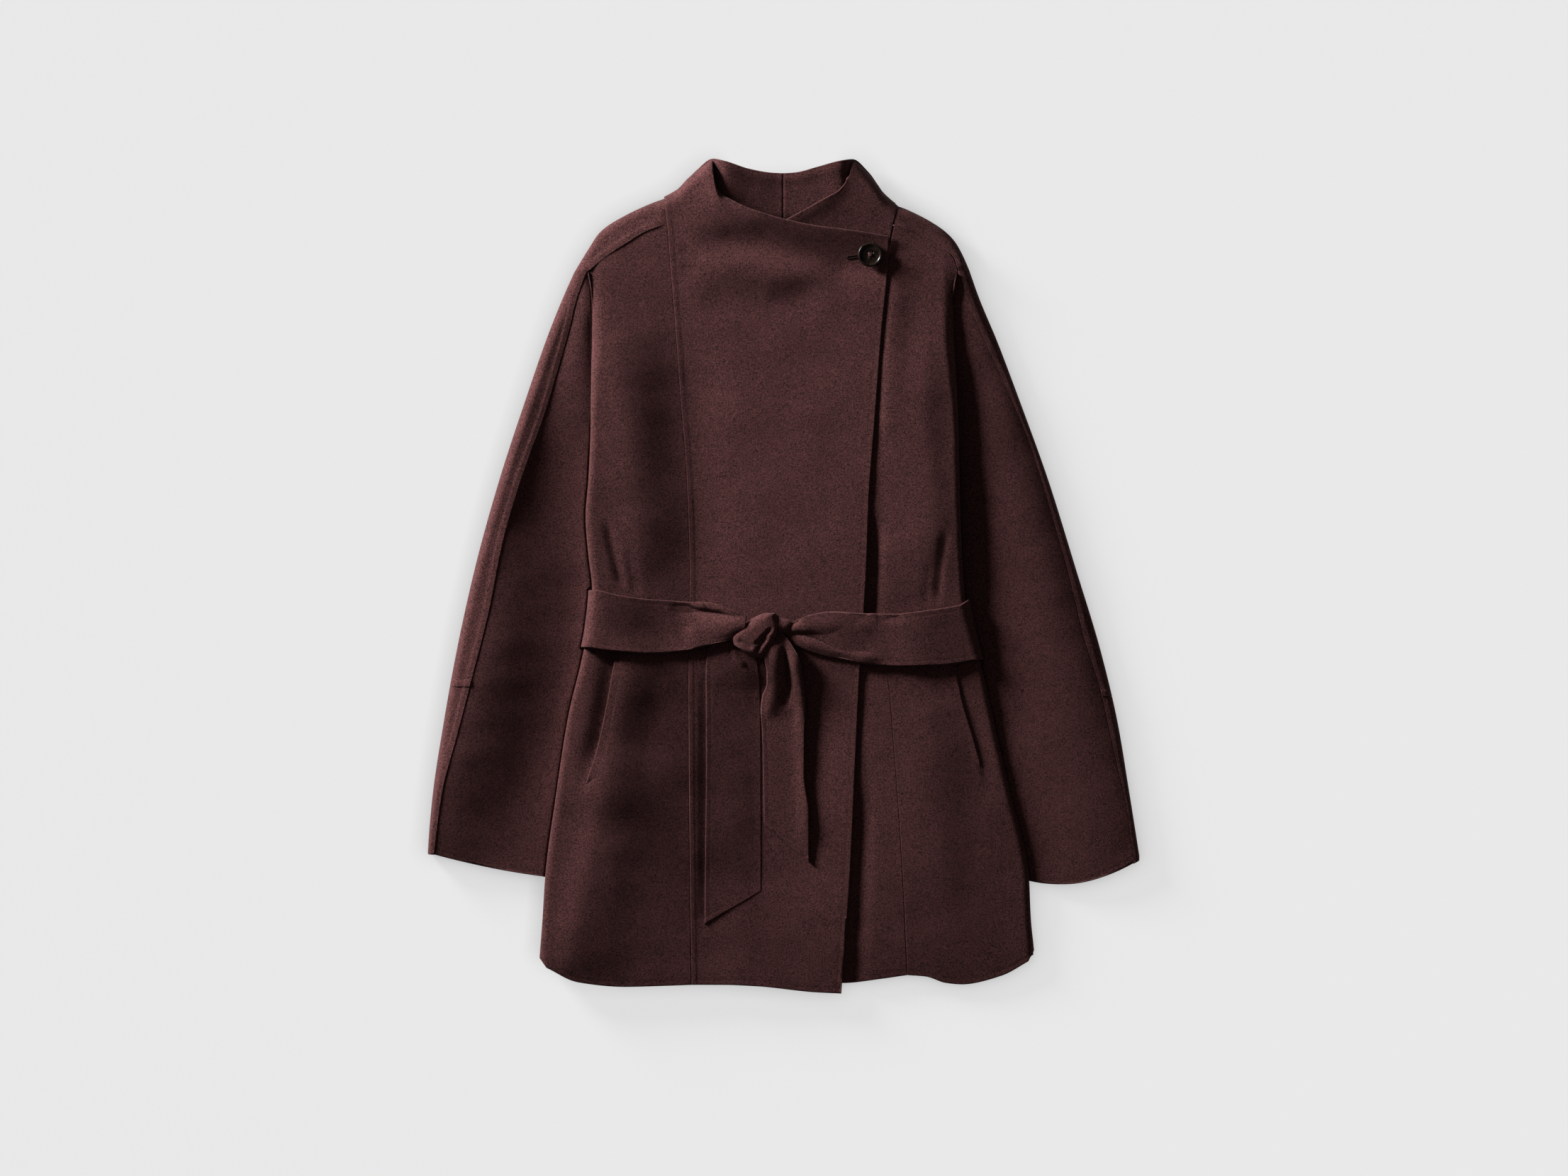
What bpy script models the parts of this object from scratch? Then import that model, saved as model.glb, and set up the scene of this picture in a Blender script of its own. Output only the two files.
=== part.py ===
"""Belted wool coat, buttoned and tied, laid flat on its back.

The tables are in millimetres and the meshes in metres. The wearer's right lies at -X, the collar at +Y,
and the front faces +Z. The back, the undersides of the sleeves and the belt's back stretch rest on z = 0.
"""

from collections import namedtuple
import math

import bmesh
import bpy
import numpy as np

MM = 0.001

# Cloth and clearances
WALL = 2.4
BELT_WALL = 3.0
LIP_WALL = 1.6
SEAM_GAP = 0.3
LAY_GAP = 0.8
OVER_STEP = 3.2
OVER_RAMP = 24.0
FOOT = WALL + 1.4
SIDE_ROLL = 11.0
COLLAR_ROLL = 14.0
SLEEVE_ROLL = 7.0
SLEEVE_ROLL_SHARE = 0.4
OUTER_ROLL = 9.0
OUTER_ROLL_SHARE = 0.72
STRIP_FALL = 0.12
SLEEVE_ROOM = 0.9
BACK_INSET = 1.0
FOLD_FADE = 0.25

# The lower front sinks a little where the lapping front hides it, and more beside the collar
HIDDEN_SINK = 0.6
COLLAR_SINK = 4.2
COLLAR_SINK_LOW, COLLAR_SINK_HIGH = 265.0, 350.0
SINK_RAMP = 25.0
HIDDEN_EDGE_X = -56.0

# Where the sleeves pass under the body's side, and where the cuffs begin to sag
ARMPIT_Y, ARMPIT_RAMP = 115.0, 35.0
TUCK_Y, TUCK_RAMP, ARMHOLE_TUCK = 147.0, 30.0, 1.5
TIP_Y, TIP_RAMP, TIP_GAP = 250.0, 30.0, 0.9
FRONT_TIP_Y = 295.0
CUFF_Y, CUFF_RAMP = -200.0, 78.0
RIGHT_CUFF, LEFT_CUFF = -278.0, -282.0
RIGHT_CUFF_SAG, LEFT_CUFF_SAG = 2.0, 9.0
RIGHT_CROSS_SEAM, LEFT_CROSS_SEAM = -112.0, -122.0

# Where the side fronts' rolled edges end, at the hem and at the shoulder tip
RIGHT_SIDE_ENDS = (-388.0, 308.0)
LEFT_SIDE_ENDS = (-381.0, 311.0)

# Belt, its room beside the body, and the band behind the back, which rises over it
BELT_ROOM = 5.6
BELT_GAP = 1.2
BELT_TURN = 2.0
BELT_SEAT = 0.6
BELT_BACK_LOW, BELT_BACK_WIDTH, BELT_BACK_SLANT = -75.0, 61.0, 3.0
BAND_LOW, BAND_HIGH = -86.0, -8.0
BAND_RISE = BELT_WALL + 0.4
BAND_RAMP = 30.0

# Button
BUTTON_AT = (88.0, 326.0)
BUTTON_THICK = 4.6
HOLE_RADIUS = 1.25
HOLE_OFFSET = 2.7

# Knot, an oval lump on its slanted long axis
KNOT_AT = (-31.0, -58.0)
KNOT_HALF = (26.0, 18.0, 10.5)
KNOT_ANGLE = math.radians(24)
KNOT_SEAT = 0.4


def table(columns, *rows):
    Row = namedtuple("Row", columns)
    return [Row(*row) for row in rows]


def column(rows, name):
    return np.array([getattr(row, name) for row in rows], float)


# Outlines and seams, x at each y, from the hem up
RIGHT_SIDE = table("y x", (-388, -247), (-350, -243), (-302, -239), (-220, -227.5), (-140, -215), (-90, -203),
                   (-50, -195), (-12, -191.5), (20, -195), (60, -198), (100, -195), (150, -193),
                   (220, -192.5), (285, -195), (308, -198))
LEFT_SIDE = table("y x", (-381, 255.5), (-350, 251), (-300, 247), (-220, 228), (-150, 212), (-85, 197),
                  (-50, 187), (-15, 181), (50, 177.5), (150, 175), (250, 171.5), (290, 173), (316, 175.8))
RIGHT_PRINCESS = table("y x", (-415, -93), (-250, -95), (-100, -96), (0, -95), (100, -98), (190, -105),
                       (260, -110), (320, -115), (358, -118), (386, -121.5))
LEFT_PRINCESS = table("y x", (-405.5, 126), (-300, 121), (-170, 112), (-95, 105), (-60, 93), (-35, 84),
                      (0, 82), (80, 85), (160, 91), (250, 98), (300, 103), (345, 109), (377, 116.5))
OVERLAP_EDGE = table("y x", (-424, 59), (-300, 68), (-170, 74), (-90, 78), (0, 84), (80, 87), (160, 93),
                     (250, 100), (300, 105), (345, 107.5))
RIGHT_OUTLINE = table("y x", (-284, -361.5), (-262, -360), (-221, -356), (-149, -345), (-77, -332), (9, -313),
                      (96, -289), (182, -261), (240, -241), (283, -224), (312, -211))
LEFT_OUTLINE = table("y x", (-284, 362), (-221, 352), (-149, 340), (-77, 323), (9, 297), (96, 270),
                     (182, 239), (240, 217), (283, 199), (314, 188))
RIGHT_OVERARM = table("y x", (-284, -355), (-215, -345), (-160, -330), (-112, -317.5), (-35, -298),
                      (35, -284), (100, -265), (170, -240), (208, -229), (250, -217), (283, -209),
                      (312, -198.5))
LEFT_OVERARM = table("y x", (-284, 355.5), (-240, 350), (-195, 340), (-155, 331), (-118, 323), (-60, 305),
                     (-10, 293), (65, 272), (135, 250), (186, 229), (240, 205), (283, 187), (314, 177))

# Short edges of the panels, by share of the panel's width
BACK_HEM = table("u x y", (0, -245.5, -385), (0.05, -225, -404), (0.2, -150, -414), (0.5, 0, -416),
                 (0.8, 150, -412), (0.95, 232, -399), (1, 254.5, -385))
RIGHT_SIDE_HEM = table("u x y", (0, -93, -415), (0.2, -120, -416), (0.45, -160, -417), (0.75, -208, -412.5),
                       (1, -236, -401.5))
LEFT_SIDE_HEM = table("u x y", (0, 126, -405.5), (0.15, 145, -407), (0.3, 165, -413.5), (0.45, 182, -415),
                      (0.75, 222, -406), (1, 244.5, -397))
RIGHT_SHOULDER = table("u x y", (0, -118, 358), (0.3, -140, 350), (0.6, -160, 338), (0.85, -177, 327),
                       (1, -187, 319.5), (1.15, -199.5, 309))
LEFT_SHOULDER = table("u x y", (0, 113, 357.5), (0.3, 130, 350), (0.65, 150, 341), (1, 164.8, 332),
                      (1.15, 174, 324), (1.3, 178, 311))
RIGHT_FRONT_HEM = table("u x y", (0, -93, -415), (0.25, -60, -415), (0.5, -25, -416.5), (0.8, 30, -422.5),
                        (1, 59, -424))
LEFT_FRONT_HEM = table("u x y", (0, -56, -411), (0.65, 62, -413.5), (0.85, 98, -409.5), (1, 126, -405.5))
RIGHT_NECKLINE = table("u x y", (0, -121.5, 386), (0.05, -108, 393.5), (0.1, -97, 405), (0.15, -84, 415.5),
                       (0.2, -72, 424), (0.24, -70.5, 408), (0.29, -66, 392), (0.36, -50, 381),
                       (0.46, -25, 369.5), (0.56, 0, 362), (0.7, 35, 355), (0.85, 72, 350.5),
                       (1, 107.5, 345))
LEFT_NECKLINE = table("u x y", (0, -56, 332), (0.15, -25, 347), (0.3, 3, 362), (0.4, 20, 371),
                      (0.5, 40, 382.5), (0.58, 57, 392), (0.65, 66, 405), (0.71, 71, 423.5), (0.8, 84, 413),
                      (0.87, 95, 400), (0.94, 104, 387.5), (1, 116.5, 377))
NECK_SEAM = table("u x y", (0, -117, 357), (0.25, -60, 352), (0.5, 0, 350), (0.75, 60, 352), (1, 112.5, 357))
RIGHT_COLLAR_TOP = table("u x y", (0, 0, 409), (0.3, -35, 413.5), (0.52, -60, 421.5), (0.6, -71, 424),
                         (0.72, -88, 412.5), (0.86, -105, 395.5), (1, -120.5, 386))
LEFT_COLLAR_TOP = table("u x y", (0, 0, 409), (0.3, 35, 415.5), (0.52, 60, 422), (0.6, 70, 423.5),
                        (0.72, 86, 411), (0.86, 101, 391), (1, 115.5, 377.5))

# Outer edge of the shoulder strips, beside the shoulder seam's points, from the neck to the shoulder tip
RIGHT_STRIP = table("u x y", (0, -121.5, 384.5), (0.45, -160, 367), (0.8, -186, 350), (1, -199, 331),
                    (1.15, -212.3, 309))
LEFT_STRIP = table("u x y", (0, 117, 377), (0.5, 149, 361), (0.8, 165, 350), (1, 174.5, 340),
                   (1.15, 182, 327), (1.3, 189, 311))

# Raglan line and armhole on the hidden back, straight between these points, from the armpit up
RIGHT_ARMHOLE = table("y x", (150, -191.5), (280, -190), (357, -117))
LEFT_ARMHOLE = table("y x", (150, 173.5), (280, 169), (357, 112.5))

# The inner end of each sleeve row, which lies lower than its outer end at the tip and the cuff
BACK_ROWS = table("outer inner", (-278, -303), (-238, -254), (-200, -205), (-112, -113), (100, 100),
                  (147, 150), (240, 228), (309, 280))
FRONT_ROWS = table("outer inner", (-278, -303), (-238, -254), (-200, -205), (-112, -113), (100, 100),
                   (309, 309))

# Height of the fronts' outer face across the body, and of the sleeves' from the seam to the inner side
LOFT = table("y right mid_right middle mid_left left",
             (-415, 14, 14, 14, 14, 14), (-360, 20, 16, 15, 16, 18), (-220, 29, 20, 15, 17, 21),
             (-110, 27, 20, 15.5, 17.5, 21), (-50, 18, 16, 16, 18, 19), (20, 21, 16, 17, 20, 24),
             (180, 22, 17, 17.5, 21, 25), (290, 18, 17, 18, 18, 19), (350, 15, 19, 18, 17, 15),
             (386, 15, 23, 20, 19, 15), (424, 15, 24, 22, 20, 15))
RIGHT_SLEEVE_LOFT = table("y seam outer inner rim", (-278, 14, 13, 12.5, 12.5), (-200, 22, 17, 13, 14),
                          (-112, 22, 16, 13, 15), (-50, 22, 15, 13, 15), (40, 22, 16, 13.5, 15),
                          (145, 21, 16.5, 14, 13), (240, 18, 16, 14.5, 13), (283, 16, 15.3, 14.5, 13.5),
                          (309, 16.5, 16.2, 15.8, 15.4))
LEFT_SLEEVE_LOFT = table("y seam outer inner rim", (-278, 11.5, 13, 14, 12), (-200, 13, 19, 19, 12),
                         (-112, 13, 20, 18, 12), (-50, 13, 20, 17, 12), (40, 13, 19, 16, 12),
                         (145, 13, 17, 15, 12.5), (240, 13.5, 15, 14, 12.5), (283, 14.8, 14.4, 13.8, 13.2),
                         (309, 16.5, 16.2, 15.8, 15.4))
SLEEVE_FOOT = table("y z", (-303, FOOT), (108, FOOT), (145, 8.8), (178, 10), (262, 10), (285, 11.8),
                    (309, 14.2))
SIDE_FOOT = table("y z", (-420, FOOT), (104, FOOT), (150, 13.4), (262, 13.4), (285, 15), (300, 16.3),
                  (320, 16.8))

# Largest folds: which fronts they are in, their route, half width and height
FOLDS = table("name layer route half_width height",
              ("chest trough", "all", ((-130, 295), (-122, 120), (-118, -12)), 24, -4.5),
              ("collar trough", "all", ((-78, 352), (-20, 338), (50, 330), (110, 318)), 15, -4.0),
              ("collar ridge", "all", ((-95, 318), (-20, 306), (60, 312)), 15, 3.0),
              ("chest dip", "all", ((-75, 300), (-10, 279), (50, 300)), 13, -2.0),
              ("neck side ridge", "all", ((-78, 430), (-82, 380), (-88, 335)), 11, 5.0),
              ("hip ridge", "all", ((-172, -90), (-194, -200), (-212, -300)), 19, 4.0),
              ("hip trough", "all", ((-136, -92), (-150, -220), (-180, -345)), 24, -3.0),
              ("right hem wave", "all", ((-150, -310), (-138, -440)), 20, 3.5),
              ("left hem wave", "all", ((128, -330), (140, -440)), 20, 3.5),
              ("right neck edge", "over", ((-66, 395), (-30, 372), (20, 359), (120, 344)), 13, 4.0),
              ("left neck edge", "under", ((68, 414), (40, 382), (-8, 355)), 11, 2.5))

# The button's half section, from the middle of its dish over the rim and round to its underside
BUTTON_PROFILE = table("radius z", (0, 3.3), (8.9, 3.3), (9.9, 4.2), (10.7, BUTTON_THICK), (11.8, 4.2),
                       (12.5, 2.5), (11.3, 0.6), (9, 0), (0, 0))

# Pocket mouths, belt stretches and belt ends
RIGHT_POCKET = table("s x y", (0, -171, -84), (0.35, -179, -130), (0.7, -190, -180), (1, -200, -210))
LEFT_POCKET = table("s x y", (0, 174.5, -93), (0.35, 182, -128), (0.7, 193, -165), (1, 201.5, -196))
LIP_WIDTH = 9.0

# Heights of the rows that the fronts share, so that they meet point to point along the princess seams
BODY_ROWS = (-375, -330, -280, -230, -180, -140, -112, -95, -78, -60, -42, -22, 10, 55, 105, 155, 205, 250,
             285, 315, 338)
BACK_LEVELS = (-340, -280, -220, -160, -118, -102, -86, -47, -8, 8, 24, 70, 115, 150, 215, 280, 320)
SLEEVE_ROWS = (285, 262, 235, 207, 178, 147, 108, 70, 25, -20, -52, -84)
FOREARM_ROWS = (-155, -200, -240)
LEVEL_EDGE = 1.5
COLLAR_LEVEL = 355
COLLAR_ROWS = (14.0, 7.0, 2.5)

# Shares of a panel's width at which its columns lie; past 1 they follow its rolled edge
COLLAR_COLUMNS = (0, 0.15, 0.3, 0.42, 0.52, 0.6, 0.72, 0.86, 0.985)
SIDE_COLUMNS = (0, 0.012, 0.14, 0.3, 0.46, 0.62, 0.76, 0.88, 1, 1.3, 1.6, 1.83, 2)
RIGHT_FRONT_COLUMNS = (0, 0.008, 0.05, 0.1, 0.15, 0.2, 0.245, 0.29, 0.36, 0.46, 0.56, 0.68, 0.8, 0.9, 1)
LEFT_FRONT_COLUMNS = (0, 0.15, 0.3, 0.4, 0.5, 0.58, 0.65, 0.71, 0.76, 0.82, 0.88, 0.94, 0.992, 1)
SLEEVE_BACK_COLUMNS = (0, 0.4, 1, 1.17, 1.34, 1.5, 1.66, 1.83, 2, 2.25, 2.5, 2.75, 3)
SLEEVE_FRONT_COLUMNS = (0, 0.04, 0.17, 0.33, 0.5, 0.67, 0.84, 1, 1.35, 1.7, 2)
SHOULDER_SHARES = (0, 0.01, 0.17, 0.33, 0.5, 0.67, 0.83, 1)
BELT_COLUMNS = (*np.linspace(0, 1, 11), 1.3, 1.6, 1.83, 2, 3)

# How far the fronts' neck edges roll down to the back collar, by share of the panel's width
RIGHT_NECK_ROLL = table("u share", (0, 1), (0.19, 1), (0.27, 0))
LEFT_NECK_ROLL = table("u share", (0.65, 0), (0.72, 1), (1, 1))

BELT_RIGHT = table("x high low", (-186, -14, -72.5), (-165, -19.5, -76.5), (-140, -23, -78.5),
                   (-100, -25.5, -76), (-80, -27, -71), (-64, -31, -66.5), (-52, -35.5, -64))
BELT_LEFT = table("x high low", (2, -55, -66), (14, -46, -69.5), (28, -39.5, -76), (50, -35.5, -82),
                  (85, -37.5, -88.5), (115, -37.5, -91), (150, -33.5, -90), (174, -29, -85))
TAIL_RIGHT = table("y left right", (-84, -70, -36), (-97, -77, -27), (-120, -78.5, -24), (-200, -79, -22.5),
                   (-318, -80, -22.5), (-353, -80, -22.5))
TAIL_LEFT = table("y left right", (-75, -14, 11), (-92, -17, 18), (-120, -20.8, 21), (-160, -21, 21.5),
                  (-200, -20.5, 21.5), (-240, -20, 25.5), (-291, -19.5, 26.5))
TAIL_RIGHT_SLANT = 33.0
TAIL_LEFT_SLANT = 40.0


def blend(t, start, end, rise, fall):
    """Cubic from start to end, leaving at the slope rise and arriving at the slope fall."""
    bend = 3 * (end - start) - 2 * rise - fall
    return start + t * (rise + t * (bend + t * (2 * (start - end) + rise + fall)))


def curve(rows, key, value):
    """A smooth line through a table's points that never swings past them."""
    keys, values = column(rows, key), column(rows, value)
    order = np.argsort(keys)
    keys, values = keys[order], values[order]
    gaps = np.diff(keys)
    rates = np.diff(values) / gaps
    slopes = np.concatenate((rates[:1], np.zeros(len(keys) - 2), rates[-1:]))
    for i in range(1, len(keys) - 1):
        if rates[i - 1] * rates[i] > 0:
            before, after = 2 * gaps[i] + gaps[i - 1], gaps[i] + 2 * gaps[i - 1]
            slopes[i] = (before + after) / (before / rates[i - 1] + after / rates[i])

    def at(k):
        k = np.clip(k, keys[0], keys[-1])
        i = np.clip(np.searchsorted(keys, k, side="right") - 1, 0, len(keys) - 2)
        t = (k - keys[i]) / gaps[i]
        start, end = values[i], values[i + 1]
        rise, fall = slopes[i] * gaps[i], slopes[i + 1] * gaps[i]
        return blend(t, start, end, rise, fall)

    return at


def smoothstep(t):
    t = np.clip(t, 0, 1)
    return t * t * (3 - 2 * t)


def pair(x, y):
    return np.stack(np.broadcast_arrays(x, y), axis=-1).astype(float)


right_side, left_side = curve(RIGHT_SIDE, "y", "x"), curve(LEFT_SIDE, "y", "x")
right_princess, left_princess = curve(RIGHT_PRINCESS, "y", "x"), curve(LEFT_PRINCESS, "y", "x")
overlap_edge = curve(OVERLAP_EDGE, "y", "x")
loft_columns = [curve(LOFT, "y", name) for name in ("right", "mid_right", "middle", "mid_left", "left")]
sleeve_foot, side_foot = curve(SLEEVE_FOOT, "y", "z"), curve(SIDE_FOOT, "y", "z")


def hidden_edge(y):
    """The lower front's edge, hidden under the lapping front."""
    return np.full_like(y, HIDDEN_EDGE_X)


def back_rise(y):
    """How far the back is lifted by the belt behind it."""
    outside = np.maximum(BAND_LOW - y, y - BAND_HIGH)
    return BAND_RISE * (1 - smoothstep(outside / BAND_RAMP))


def fold_height(x, y, layer):
    """Sum of the folds at a point, each a soft ridge or trough that fades out at both ends of its route."""
    total = np.zeros_like(x)
    for fold in FOLDS:
        if fold.layer not in ("all", layer):
            continue
        route = np.array(fold.route, float)
        steps = np.diff(route, axis=0)
        lengths = np.hypot(steps[:, 0], steps[:, 1])
        starts = np.concatenate(([0], np.cumsum(lengths)))
        nearest = np.full_like(x, np.inf)
        share = np.zeros_like(x)
        for i, step in enumerate(steps):
            t = ((x - route[i, 0]) * step[0] + (y - route[i, 1]) * step[1]) / lengths[i] ** 2
            t = np.clip(t, 0, 1)
            distance = np.hypot(x - route[i, 0] - t * step[0], y - route[i, 1] - t * step[1])
            closer = distance < nearest
            nearest = np.where(closer, distance, nearest)
            share = np.where(closer, (starts[i] + t * lengths[i]) / starts[-1], share)
        fade = smoothstep(share / FOLD_FADE) * smoothstep((1 - share) / FOLD_FADE)
        total += fold.height * fade * np.exp(-(nearest / fold.half_width) ** 2)
    return total


def front_height(x, y, layer="under"):
    """Outer face of the lower fronts, or with layer over that of the front that laps across them."""
    x, y = np.broadcast_arrays(np.asarray(x, float), np.asarray(y, float))
    across = 4 * np.clip((x - right_side(y)) / (left_side(y) - right_side(y)), 0, 1)
    heights = np.stack([at(y) for at in loft_columns])
    slopes = np.gradient(heights, axis=0)
    i = np.clip(across.astype(int), 0, 3)
    t = across - i
    start, rise = (np.take_along_axis(rows, i[None], 0)[0] for rows in (heights, slopes))
    end, fall = (np.take_along_axis(rows, i[None] + 1, 0)[0] for rows in (heights, slopes))
    z = blend(t, start, end, rise, fall) + fold_height(x, y, layer)
    if layer == "over":
        return z + OVER_STEP * smoothstep((x - right_princess(y)) / OVER_RAMP)
    hidden = smoothstep((overlap_edge(y) - OVER_RAMP / 2 - x) / OVER_RAMP)
    hidden = hidden * smoothstep((x - right_princess(y) - OVER_RAMP) / OVER_RAMP)
    collar = smoothstep((y - COLLAR_SINK_LOW) / SINK_RAMP)
    sink = HIDDEN_SINK + (COLLAR_SINK - HIDDEN_SINK) * collar
    return z - sink * hidden * smoothstep((COLLAR_SINK_HIGH - y) / SINK_RAMP)


def bed_height(x, y):
    """What the belt lies on: the lapping front, and past its edge the front below it, with no sharp step."""
    past = smoothstep((x - overlap_edge(y)) / OVER_RAMP)
    return front_height(x, y, "over") * (1 - past) + front_height(x, y, "under") * past


def seam_edge(line, low, high):
    """A long edge of a panel, on a seam between two heights."""
    def at(v):
        y = low + (high - low) * v
        return pair(line(y), y)
    return at


def path_edge(rows):
    """A short edge of a panel, through a table's points."""
    x, y = curve(rows, "u", "x"), curve(rows, "u", "y")
    return lambda u: pair(x(u), y(u))


def patch(start, end, hem, head, reach=0.2):
    """Plan of a panel inside its four edges. Its short edges' bends fade out over a share of its length."""
    zero, one = np.zeros(1), np.ones(1)

    def at(u, v):
        share = u[:, None]
        body = (1 - share) * start(v) + share * end(v)
        low = hem(u) - (1 - share) * start(zero) - share * end(zero)
        high = head(u) - (1 - share) * start(one) - share * end(one)
        near_low = np.clip(1 - v / reach, 0, 1)[:, None] ** 2
        near_high = np.clip(1 - (1 - v) / reach, 0, 1)[:, None] ** 2
        return body + near_low * low + near_high * high

    return at


def lift(plan, z):
    return np.concatenate((plan, np.asarray(z, float)[:, None]), axis=1)


def fabric_material(name, colour, roughness):
    material = bpy.data.materials.new(name)
    material.use_nodes = True
    shader = material.node_tree.nodes["Principled BSDF"]
    shader.inputs["Base Color"].default_value = (*colour, 1)
    shader.inputs["Roughness"].default_value = roughness
    shader.inputs["Metallic"].default_value = 0
    return material


def keep(name, mesh, material):
    mesh.materials.append(material)
    piece = bpy.data.objects.new(name, mesh)
    coat.objects.link(piece)
    return piece


def grid_mesh(name, surface, across, along, level):
    """A grid whose columns and rows are placed on surface(u, v), in millimetres.

    The borders named in level keep the height of the row or column beside them, so that the wall stands
    upright there.
    """
    across, along = np.asarray(across, float), np.asarray(along, float)
    columns = across[1 if "start" in level else 0], across[-2 if "end" in level else -1]
    rows = along[1 if "first" in level else 0], along[-2 if "last" in level else -1]
    bm = bmesh.new()
    bmesh.ops.create_grid(bm, x_segments=len(across) - 1, y_segments=len(along) - 1, size=0.5)
    corners = np.array([vert.co for vert in bm.verts])
    i = np.rint((corners[:, 0] + 0.5) * (len(across) - 1)).astype(int)
    j = np.rint((corners[:, 1] + 0.5) * (len(along) - 1)).astype(int)
    points = surface(across[i], along[j])
    level_along = np.clip(along[j], min(rows), max(rows))
    points[:, 2] = surface(np.clip(across[i], *columns), level_along)[:, 2]
    for vert, point in zip(bm.verts, points * MM):
        vert.co = point
    mesh = bpy.data.meshes.new(name)
    bm.to_mesh(mesh)
    bm.free()
    mesh.shade_smooth()
    return mesh


def sheet(name, surface, across, along, wall, grow, material, level=()):
    """One cloth piece. grow is 1 to add the wall on the side that the grid faces, -1 for the other side."""
    piece = keep(name, grid_mesh(name, surface, across, along, level), material)
    solidify = piece.modifiers.new("wall", "SOLIDIFY")
    solidify.thickness = wall * MM
    solidify.offset = grow
    return piece


def rows_between(low, high, *levels):
    """Shares of a panel's length at which its rows lie, from their heights."""
    return [(y - low) / (high - low) for y in (low, *levels, high)]


def make_back(cloth):
    """The back lies flat and rises over the belt. Its upper corners end at the raglan lines."""
    def edge(side, armhole, sign):
        straight_y, straight_x = column(armhole, "y"), column(armhole, "x")

        def at(v):
            y = np.interp(v, (0, 1), (low, high))
            below = side(y) - sign * BACK_INSET
            above = np.interp(y, straight_y, straight_x)
            return pair(below + (above - below) * smoothstep((y - ARMPIT_Y) / ARMPIT_RAMP), y)
        return at

    low, high = BACK_HEM[0].y, NECK_SEAM[0].y
    along = rows_between(low, high, *BACK_LEVELS)
    plan = patch(edge(right_side, RIGHT_ARMHOLE, -1), edge(left_side, LEFT_ARMHOLE, 1), path_edge(BACK_HEM),
                 path_edge(NECK_SEAM))

    def surface(u, v):
        at = plan(u, v)
        return lift(at, back_rise(at[:, 1]))

    sheet("back", surface, np.linspace(0, 1, 13), along, WALL, 1, cloth)


def make_back_collars(cloth):
    """The two halves of the collar behind the neck, joined at the centre back."""
    halves = (("right_back_collar", RIGHT_COLLAR_TOP, -1), ("left_back_collar", LEFT_COLLAR_TOP, 1))
    for name, top, sign in halves:
        upper, seam = path_edge(top), path_edge(NECK_SEAM)

        def surface(u, v, upper=upper, seam=seam, sign=sign):
            low = seam(0.5 + sign * 0.5 * u) + pair(0, 2 * SEAM_GAP)
            share = v[:, None]
            at = low + (upper(u) - low) * share
            at[:, 0] += sign * SEAM_GAP * (1 - u)
            return lift(at, np.zeros_like(u))

        sheet(name, surface, COLLAR_COLUMNS, np.linspace(0, 1, 4), WALL, sign, cloth)


def make_side_fronts(cloth):
    """The side fronts run from the princess seams and roll down over the body's sides."""
    sides = (("right_side_front", -1, right_princess, right_side, RIGHT_SIDE_HEM, RIGHT_SHOULDER,
              RIGHT_SIDE_ENDS),
             ("left_side_front", 1, left_princess, left_side, LEFT_SIDE_HEM, LEFT_SHOULDER, LEFT_SIDE_ENDS))
    for name, sign, seam, side, hem, shoulder, ends in sides:
        low, high = hem[0].y, shoulder[0].y
        start = seam_edge(lambda y, seam=seam, sign=sign: seam(y) + sign * SEAM_GAP, low, high - SEAM_GAP)
        head = path_edge(shoulder)
        crest_low, crest_high = hem[-1].y, head(np.ones(1))[0, 1] - SEAM_GAP

        def side_y(v, ends=ends):
            return ends[0] + (ends[1] - ends[0]) * v

        def crest(v, sign=sign, side=side, side_y=side_y, low=crest_low, high=crest_high):
            return pair(side(side_y(v)) - sign * SIDE_ROLL, low + (high - low) * v)

        plan = patch(start, crest, path_edge(hem), head)

        def surface(u, v, sign=sign, side=side, side_y=side_y, crest=crest, plan=plan):
            at = plan(np.minimum(u, 1), v)
            z = front_height(at[:, 0], at[:, 1])
            turn = np.clip(u - 1, 0, 1) * math.pi / 2
            edge = pair(side(side_y(v)), side_y(v))
            at = at + (edge - crest(v)) * (np.sin(turn) * (u > 1))[:, None]
            foot = side_foot(side_y(v)) + back_rise(side_y(v))
            return lift(at, np.where(u > 1, foot + (z - foot) * np.cos(turn), z))

        along = rows_between(low, high, *BODY_ROWS, high - LEVEL_EDGE)
        sheet(name, surface, SIDE_COLUMNS, along, WALL, -sign, cloth, ("start", "last"))


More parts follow.
